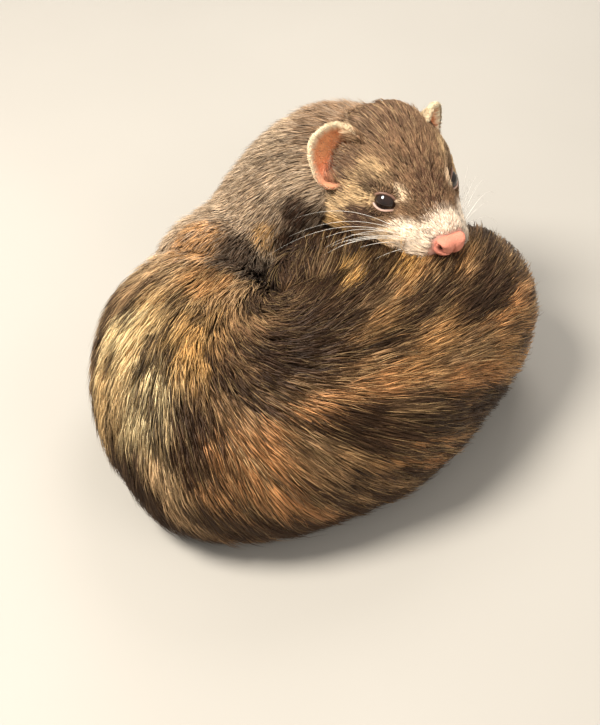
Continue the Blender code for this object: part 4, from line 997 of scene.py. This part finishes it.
def grow_coat(skin):
    """Tufts over the whole skin, bent towards their clumps, as pairs of a slot and its pieces."""
    rng = np.random.default_rng(COAT_SEED)
    verts, faces = arrays_of(skin)
    a, b, c = (verts[faces[:, k]] for k in range(3))
    flat = unit(np.cross(b - a, c - a))
    soft = np.zeros_like(verts)
    for k in range(3):
        for axis in range(3):
            soft[:, axis] += np.bincount(faces[:, k], flat[:, axis], len(verts))
    soft = unit(soft)
    normal_of = unit(soft[faces].sum(1))
    tree = BVHTree.FromPolygons([Vector(v) for v in verts], faces.tolist())
    density = density_of((a + b + c) / 3, normal_of)
    roots, which = scattered(verts, faces, density * (1.0), rng)
    info = survey(roots, normal_of[which])
    h = info["h"]
    nose = ((h[:, 1] / 6.8) ** 4 + ((h[:, 2] - NOSE_AT[2] + 0.6) / 4.4) ** 4 < 1) & (h[:, 0] > -6.5)
    keep = ~info["shut"] & ~nose
    roots, normals = roots[keep], normal_of[which][keep]
    info = {key: v[keep] for key, v in info.items()}
    count = len(roots)

    seeds, seed_face = scattered(verts, faces, density * CLUMP_SHARE, rng)
    seed_n = normal_of[seed_face]
    seed_info = survey(seeds, seed_n, CLUMP_SEED)
    guard = rng.random(count) < GUARDS
    length = info["length"] * rng.uniform(0.72, 1.12, count)
    length = length * np.where(guard, rng.uniform(1.0, 1.4, count), 0.92)
    flow = unit(info["flow"])
    flow = unit(flow + np.cross(normals, flow) * rng.normal(0, 0.10, count)[:, None])
    seed_flow = unit(seed_info["flow"])
    seed_sway = np.cross(seed_n, seed_flow) * rng.normal(0, 0.16, len(seeds))[:, None]
    seed_flow = unit(seed_info["flow"] + seed_sway)
    seed_line, _ = marched(seeds, seed_n, seed_flow, seed_info["length"], 3, tree, normal_of)
    near = KDTree(len(seeds))
    for i, v in enumerate(seeds):
        near.insert(v, i)
    near.balance()
    clump = np.array([near.find(v)[1] for v in roots])
    clump_tone = rng.normal(0, 1, len(seeds))
    clump_lift = rng.uniform(0.8, 1.25, len(seeds))

    steps = np.where((info["length"] > 9.5) & ~info["ear"], 3, 2)
    made = []
    for k, (profile, pull, taper, ramp, columns) in TUFTS.items():
        mine = np.flatnonzero(steps == k)
        here = {key: v[mine] for key, v in info.items()}
        mate, guards, some = clump[mine], guard[mine], len(mine)
        line, up = marched(roots[mine], normals[mine], flow[mine], length[mine], k, tree, normal_of)
        rise = here["rise"] * rng.uniform(0.75, 1.15, some) * clump_lift[mate]
        rise = rise * np.where(guards & (rng.random(some) < 0.3), 1.2, 1.0)
        target = seed_line[mate][:, columns]
        pull = np.array(pull)[None] * rng.uniform(0.5, 1.3, some)[:, None]
        pull = pull * bell(np.linalg.norm(target - line, axis=2), 9.0) * (~here["ear"])[:, None]
        bent = line + (target - line) * pull[..., None]
        bent = bent + up * (rise[:, None] * np.array(profile)[None])[..., None]
        bent[:, 1:] += rng.normal(0, 0.12, bent[:, 1:].shape) * (here["length"] / 12)[:, None, None]
        width = here["width"] * np.where(guards, 0.5, 1.0) * rng.uniform(0.8, 1.2, some)
        width = width[:, None] * np.array(taper)[None]
        colours = tuft_colours(here, seed_info["colour"][mate], clump_tone[mate], guards, ramp, rng)
        slots = slot_of(here)
        for slot in ("coat", "face", "points", "ear"):
            s = np.flatnonzero(slots == slot)
            if len(s):
                pieces = blades(f"fur_{slot}_{k}", bent[s], up[s], width[s], colours[s], here["uv"][s])
                made.append((slot, pieces))
    info = survey(verts, soft)
    # Painted shade: the skin between the tufts is darkened to 0.6 to 0.85 of the coat's colour, least where
    # the coat is pale; the bare inside of the ears keeps its colour.
    bright = 0.6 + 0.25 * ease(info["colour"].mean(1), 0.3, 0.62)
    tint = info["colour"] * np.where(info["ear"] & info["inner"], 1.0, bright)[:, None]
    snout = (ease(info["h"][:, 0], -16, -7) * (info["own"] == "head"))[:, None]
    paint(skin, mixed(tint, SNOUT_SKIN, snout))
    return made


# Eyes, lids, nose, claws and whiskers

SIDES = {1: "left", -1: "right"}
# The shade column is painted shade, darkest where the rim tucks under against the ball and where it sinks
# into the skin.
LID_PROFILE = (  # share out from the middle of the opening, lift off the ball, shade
    (0.95, -0.5, 0.12), (0.95, 0.1, 0.16), (0.99, 0.45, 0.55), (1.04, 0.78, 1.0), (1.11, 0.9, 0.9),
    (1.2, 0.76, 0.6), (1.3, -0.4, 0.4),
)
LID_LOW, LID_TOP = srgb(204, 166, 146), srgb(134, 100, 84)
NOSE_AT, NOSE_SIZE = np.array((-3.4, 0.0, 0.4)), np.array((4.3, 7.3, 5.3))
NOSTRIL = np.array(((6.5, 1.9), (6.2, -2.2), (2.4, -1.9)))  # a curve's ends and the point it bends to
# The last colour here is painted shade inside the nostrils.
NOSE_PINK, NOSE_EDGE, NOSTRIL_SHADE = srgb(222, 142, 118), srgb(205, 120, 110), srgb(84, 34, 28)
CLAW_LONG, CLAW_R, WHISKERS, WHISKER_R, CHIN_HAIRS, CHIN_HAIR_R = 6.2, 0.85, 12, 0.085, 5, 0.07


def eyeball(side):
    """A ball with a bulging cornea."""
    middle, long, high, aim = EYES[side]
    lat = np.radians(np.linspace(0.5, 179.5, 64))
    bulge = EYE_R + 0.45 * bell(lat, 0.62)
    ring = np.sin(lat)[:, None, None] * hoops(turns(96), long[None], high[None])
    points = middle + bulge[:, None, None] * (ring + np.cos(lat)[:, None, None] * aim)
    ball = shell(list(points), (middle + aim * bulge[0], middle - aim * EYE_R))
    return mesh_of(f"eyeball_{SIDES[side]}", *ball)


def lid(side, n=120):
    """The rim of skin round the opening, thicker above, drawn out to the inner corner."""
    middle, long, high, aim = EYES[side]
    t = turns(n)
    a = LID_LONG * np.cos(t)
    a = np.where(a * side < 0, a * INNER_CORNER, a)
    b = LID_HIGH * (1 - LID_PINCH * np.cos(t) ** 2) * np.sin(t) - corner_drop(-a * side)
    above = ease(np.sin(t), -0.4, 0.6)
    rings = []
    for share, lift, _ in LID_PROFILE:
        lift = lift * (1 + 0.35 * above * (lift > 0.3))
        x, y = a * share, b * share
        z = np.sqrt(np.maximum(EYE_R**2 - x**2 - y**2, 1.0))
        ray = unit(x[:, None] * long + y[:, None] * high + z[:, None] * aim)
        rings.append(middle + ray * (EYE_R + lift)[:, None])
    verts, rows = np.concatenate(rings), len(rings)
    i, j = np.indices((rows, n)).reshape(2, -1)
    p, q = i * n + j, i * n + (j + 1) % n
    r, s = (p + n) % (rows * n), (q + n) % (rows * n)
    faces = np.concatenate([np.stack([p, q, s], 1), np.stack([p, s, r], 1)])
    thing = mesh_of(f"eyelid_{SIDES[side]}", verts, facing_out(verts, faces))
    tone = mixed(LID_LOW, LID_TOP, above[:, None])
    paint(thing, np.concatenate([tone * shade for _, _, shade in LID_PROFILE]))
    return thing


def nose_pad():
    """The bare pad with its groove, its two nostrils and their slits."""
    lat, lon = np.radians(np.linspace(1, 150, 120)), turns(180)
    x = np.cos(lat)[:, None] * np.ones_like(lon)
    y = np.sin(lat)[:, None] * power(np.cos(lon), 0.52)
    z = np.sin(lat)[:, None] * power(np.sin(lon), 0.6)
    z = np.where(z > 0, 0.74 * z, z * (1 - 0.3 * np.abs(y) ** 2))
    p = np.stack([x, y, z], -1) * NOSE_SIZE
    p[..., 0] -= 0.9 * bell(p[..., 1], 0.75) * ease(-p[..., 2], -3.0, 2.0)
    p[..., 0] -= 0.35 * bell(p[..., 1], 1.6)
    side = np.abs(p[..., 1])
    hole = np.zeros(side.shape)
    for t in np.linspace(0, 1, 16):
        y_at, z_at = NOSTRIL[0] * (1 - t) ** 2 + NOSTRIL[1] * (2 * t * (1 - t)) + NOSTRIL[2] * t * t
        far = np.hypot(side - y_at, p[..., 2] - z_at) / (0.5 + 0.4 * bell(t - 0.25, 0.2))
        hole = np.maximum(hole, np.exp(-(far**3)) * (0.5 + 0.5 * bell(t - 0.25, 0.25)))
    hole *= x > -0.3
    wing = bell(side - 4.6, 1.5) * bell(p[..., 2] - 2.3, 1.0) * (x > 0)
    outward = unit(np.stack([x, y, z], -1) / NOSE_SIZE)
    p = p + outward * (0.4 * wing - 2.0 * hole)[..., None]
    tips = NOSE_AT + (NOSE_SIZE[0] - 0.4, 0, 0), p[-1].mean(0) + NOSE_AT - (0.6, 0, 0)
    thing = mesh_of("nose_pad", *shell(list(in_head(p + NOSE_AT)), in_head(tips)))
    edge = 0.35 * ease(np.abs(p[..., 1]) / NOSE_SIZE[1], 0.72, 1.0)[..., None]
    # Painted shade darkens the nostrils as deep as their pits go.
    tone = mixed(mixed(NOSE_PINK, NOSE_EDGE, edge), NOSTRIL_SHADE, np.clip(hole * 1.1, 0, 1)[..., None])
    paint(thing, np.concatenate([tone.reshape(-1, 3), [NOSE_PINK, NOSE_PINK]]))
    return thing


def tapered(points, radii, sides):
    """A closed tapering tube along points."""
    ahead = unit(np.gradient(points, axis=0))
    side = unit(np.cross(ahead, np.array([0.13, 0.21, 0.97])))
    rings = list(points[:, None] + radii[:, None, None] * hoops(turns(sides), side, np.cross(side, ahead)))
    return shell(rings, (points[0] - ahead[0] * radii[0] * 0.5, points[-1] + ahead[-1] * radii[-1]))


def claws():
    """Pale curved claws at the ends of the toes."""
    s = np.linspace(0, 1, 9)
    made = []
    for rows in LEGS.values():
        for start, way in paw_parts(rows)[1]:
            path = start + way * (CLAW_LONG * s)[:, None]
            path[:, 2] = np.maximum(2.4 + 1.3 * np.sin(s * 2.4) - 2.6 * s * s, 0.45)
            made.append(tapered(path, CLAW_R * (1 - s) ** 0.7 + 0.08, 10))
    return mesh_of("claws", *merged(made))


def whiskers():
    """Stiff white hairs of the muzzle and the chin, each a thin closed cone."""
    rng = np.random.default_rng(31)
    hairs = []  # root, way, bend, length, radius
    for side in (1, -1):
        for k in range(WHISKERS):
            row, column = k % 3, k // 3
            root = (-9.5 - 2.6 * column - 0.5 * row, side * (10.0 + 1.2 * column), 0.0 - 2.0 * row)
            way = np.array([-0.42 - 0.08 * column, side * 0.8, 0.34 - 0.13 * row]) + rng.normal(0, 0.07, 3)
            bend = (-0.12, 0.1 * side, -1.2 - 0.1 * row + rng.normal(0, 0.15))
            hairs.append((root, way, bend, rng.uniform(38, 56) * (0.8 + 0.2 * column / 3), WHISKER_R))
        for k in range(CHIN_HAIRS):
            root = (-7.0 - 3.0 * k, side * (3.0 + 1.4 * k), -12.5 - 0.6 * k)
            hairs.append((root, (-0.4, side * 0.6, -0.7), (-0.5, 0, 0.2), 8.0 + k, CHIN_HAIR_R))
    s = np.linspace(0, 1, 16)
    shells = []
    for root, way, bend, long, thick in hairs:
        droop = np.array(bend) * (long * 0.5 * s ** 2.4)[:, None]
        path = in_head(np.array(root) + unit(way) * (long * s)[:, None] + droop)
        path[:, 2] = np.maximum(path[:, 2], 0.6)
        shells.append(tapered(path, thick * (1 - s) ** 0.8 + 0.015, 6))
    return mesh_of("whiskers", *merged(shells))


# Materials

def finish_of(name, rough, scale, bump=0.0, tones=None, spread=0.0, shine=0.5, sheen=0.0, coat=0.0):
    """A material between two tones by noise, or the painted colour broken up by it, with a bump."""
    finish = bpy.data.materials.new(name)
    finish.use_nodes = True
    nodes, links = finish.node_tree.nodes, finish.node_tree.links
    body = nodes["Principled BSDF"]
    place = nodes.new("ShaderNodeTexCoord")
    grain = nodes.new("ShaderNodeTexNoise")
    grain.inputs["Scale"].default_value = scale
    grain.inputs["Detail"].default_value = 3.0
    links.new(place.outputs["Object"], grain.inputs["Vector"])
    if tones:
        ramp = nodes.new("ShaderNodeValToRGB")
        for element, tone, position in zip(ramp.color_ramp.elements, tones, (0.3, 0.7)):
            element.color = (*tone, 1)
            element.position = position
        links.new(grain.outputs["Fac"], ramp.inputs["Fac"])
        links.new(ramp.outputs["Color"], body.inputs["Base Color"])
    else:
        colour = nodes.new("ShaderNodeAttribute")
        colour.attribute_name = "Col"
        ramp = nodes.new("ShaderNodeMapRange")
        ramp.inputs["To Min"].default_value = 1.0 - spread
        ramp.inputs["To Max"].default_value = 1.0 + spread
        links.new(grain.outputs["Fac"], ramp.inputs["Value"])
        mix = nodes.new("ShaderNodeVectorMath")
        mix.operation = "MULTIPLY"
        links.new(colour.outputs["Color"], mix.inputs[0])
        links.new(ramp.outputs["Result"], mix.inputs[1])
        links.new(mix.outputs["Vector"], body.inputs["Base Color"])
    body.inputs["Roughness"].default_value = rough
    body.inputs["Specular IOR Level"].default_value = shine
    body.inputs["Sheen Weight"].default_value = sheen
    body.inputs["Coat Weight"].default_value = coat
    body.inputs["Coat Roughness"].default_value = 0.04
    if bump:
        raised = nodes.new("ShaderNodeBump")
        raised.inputs["Strength"].default_value = bump
        raised.inputs["Distance"].default_value = 0.0003 if tones else 0.0004
        links.new(grain.outputs["Fac"], raised.inputs["Height"])
        links.new(raised.outputs["Normal"], body.inputs["Normal"])
    return finish


# The pieces

FLESH = ("head", "neck_nape", "neck_base", "torso_shoulders", "torso_ribs", "torso_loin", "torso_hips",
         "tail_root", "tail_tip", "foreleg_left", "foreleg_right", "hindleg_left", "hindleg_right",
         "haunch_right", "ear_left", "ear_right")


def finished(thing, finish, nodes=()):
    thing.data.materials.clear()
    thing.data.materials.append(finish)
    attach(thing, "root")
    if nodes:
        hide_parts(*nodes)


def dress():
    skin = build_skin()
    coat = grow_coat(skin)
    fur = finish_of("fur", 0.5, 900.0, spread=0.12, shine=0.22)
    finished(skin, finish_of("hide", 0.75, 1400.0, 0.5, spread=0.15, shine=0.2, sheen=0.05), FLESH)
    for slot, pieces in coat:
        for piece in pieces:
            finished(piece, fur)
    glossy = finish_of("eye_dark", 0.1, 260.0, tones=(srgb(20, 13, 10), srgb(44, 28, 20)), coat=0.35)
    rim = finish_of("lid_skin", 0.38, 2200.0, 0.25, spread=0.12)
    for side, name in SIDES.items():
        finished(eyeball(side), glossy, (f"eye_{name}",))
        finished(lid(side), rim)
    pad = finish_of("nose_skin", 0.55, 2200.0, 1.0, spread=0.16, shine=0.3)
    finished(nose_pad(), pad, ("nose",))
    horn = finish_of("horn", 0.32, 500.0, 0.1, tones=(srgb(196, 168, 138), srgb(226, 206, 178)), coat=0.2)
    finished(claws(), horn)
    hair = finish_of("whisker", 0.35, 300.0, tones=(srgb(226, 218, 204), srgb(250, 246, 238)))
    finished(whiskers(), hair)


def lamp(name, at, aim, size, power_w, tint):
    data = bpy.data.lights.new(name, "AREA")
    data.shape, data.size, data.energy, data.color = "DISK", size, power_w, tint
    thing = bpy.data.objects.new(name, data)
    thing.location = at
    thing.rotation_euler = (Vector(aim) - Vector(at)).to_track_quat("-Z", "Y").to_euler()
    thing.visible_glossy = name == "key"
    bpy.context.scene.collection.objects.link(thing)


def set_stage():
    """A pale floor, three soft lamps, and the camera at the photo's angle."""
    x, y = SHIFT[0] * MM, SHIFT[1] * MM
    bpy.ops.mesh.primitive_plane_add(size=6.0, location=(x, y, 0.0))
    floor = bpy.context.object
    floor.name = "floor"
    tones = srgb(166, 161, 153), srgb(174, 169, 161)
    floor.data.materials.append(finish_of("floor_pale", 0.75, 3.0, tones=tones))
    world = bpy.data.worlds.new("studio")
    bpy.context.scene.world = world
    world.use_nodes = True
    back = world.node_tree.nodes["Background"]
    back.inputs["Color"].default_value = (1.0, 0.97, 0.92, 1.0)
    back.inputs["Strength"].default_value = 0.5
    aim = (x, y, 0.04)
    lamp("key", (x - 0.4, y - 0.1, 0.7), aim, 0.3, 11.0, (1.0, 0.95, 0.87))
    lamp("fill", (x + 0.6, y - 0.5, 0.5), aim, 0.6, 2.6, (1.0, 0.96, 0.92))
    lamp("back", (x + 0.1, y + 0.6, 0.6), aim, 0.5, 4.0, (1.0, 0.97, 0.93))
    data = bpy.data.cameras.new("camera")
    data.lens, data.sensor_width = 59.59, 36.0
    camera = bpy.data.objects.new("camera", data)
    camera.location = (np.array((-9.0, -375.0, 393.0)) + SHIFT) * MM
    camera.rotation_euler = (math.radians(45.0), 0.0, 0.0)
    bpy.context.scene.collection.objects.link(camera)
    bpy.context.scene.camera = camera
    bpy.context.scene.view_settings.view_transform = "Standard"


dress()
set_stage()
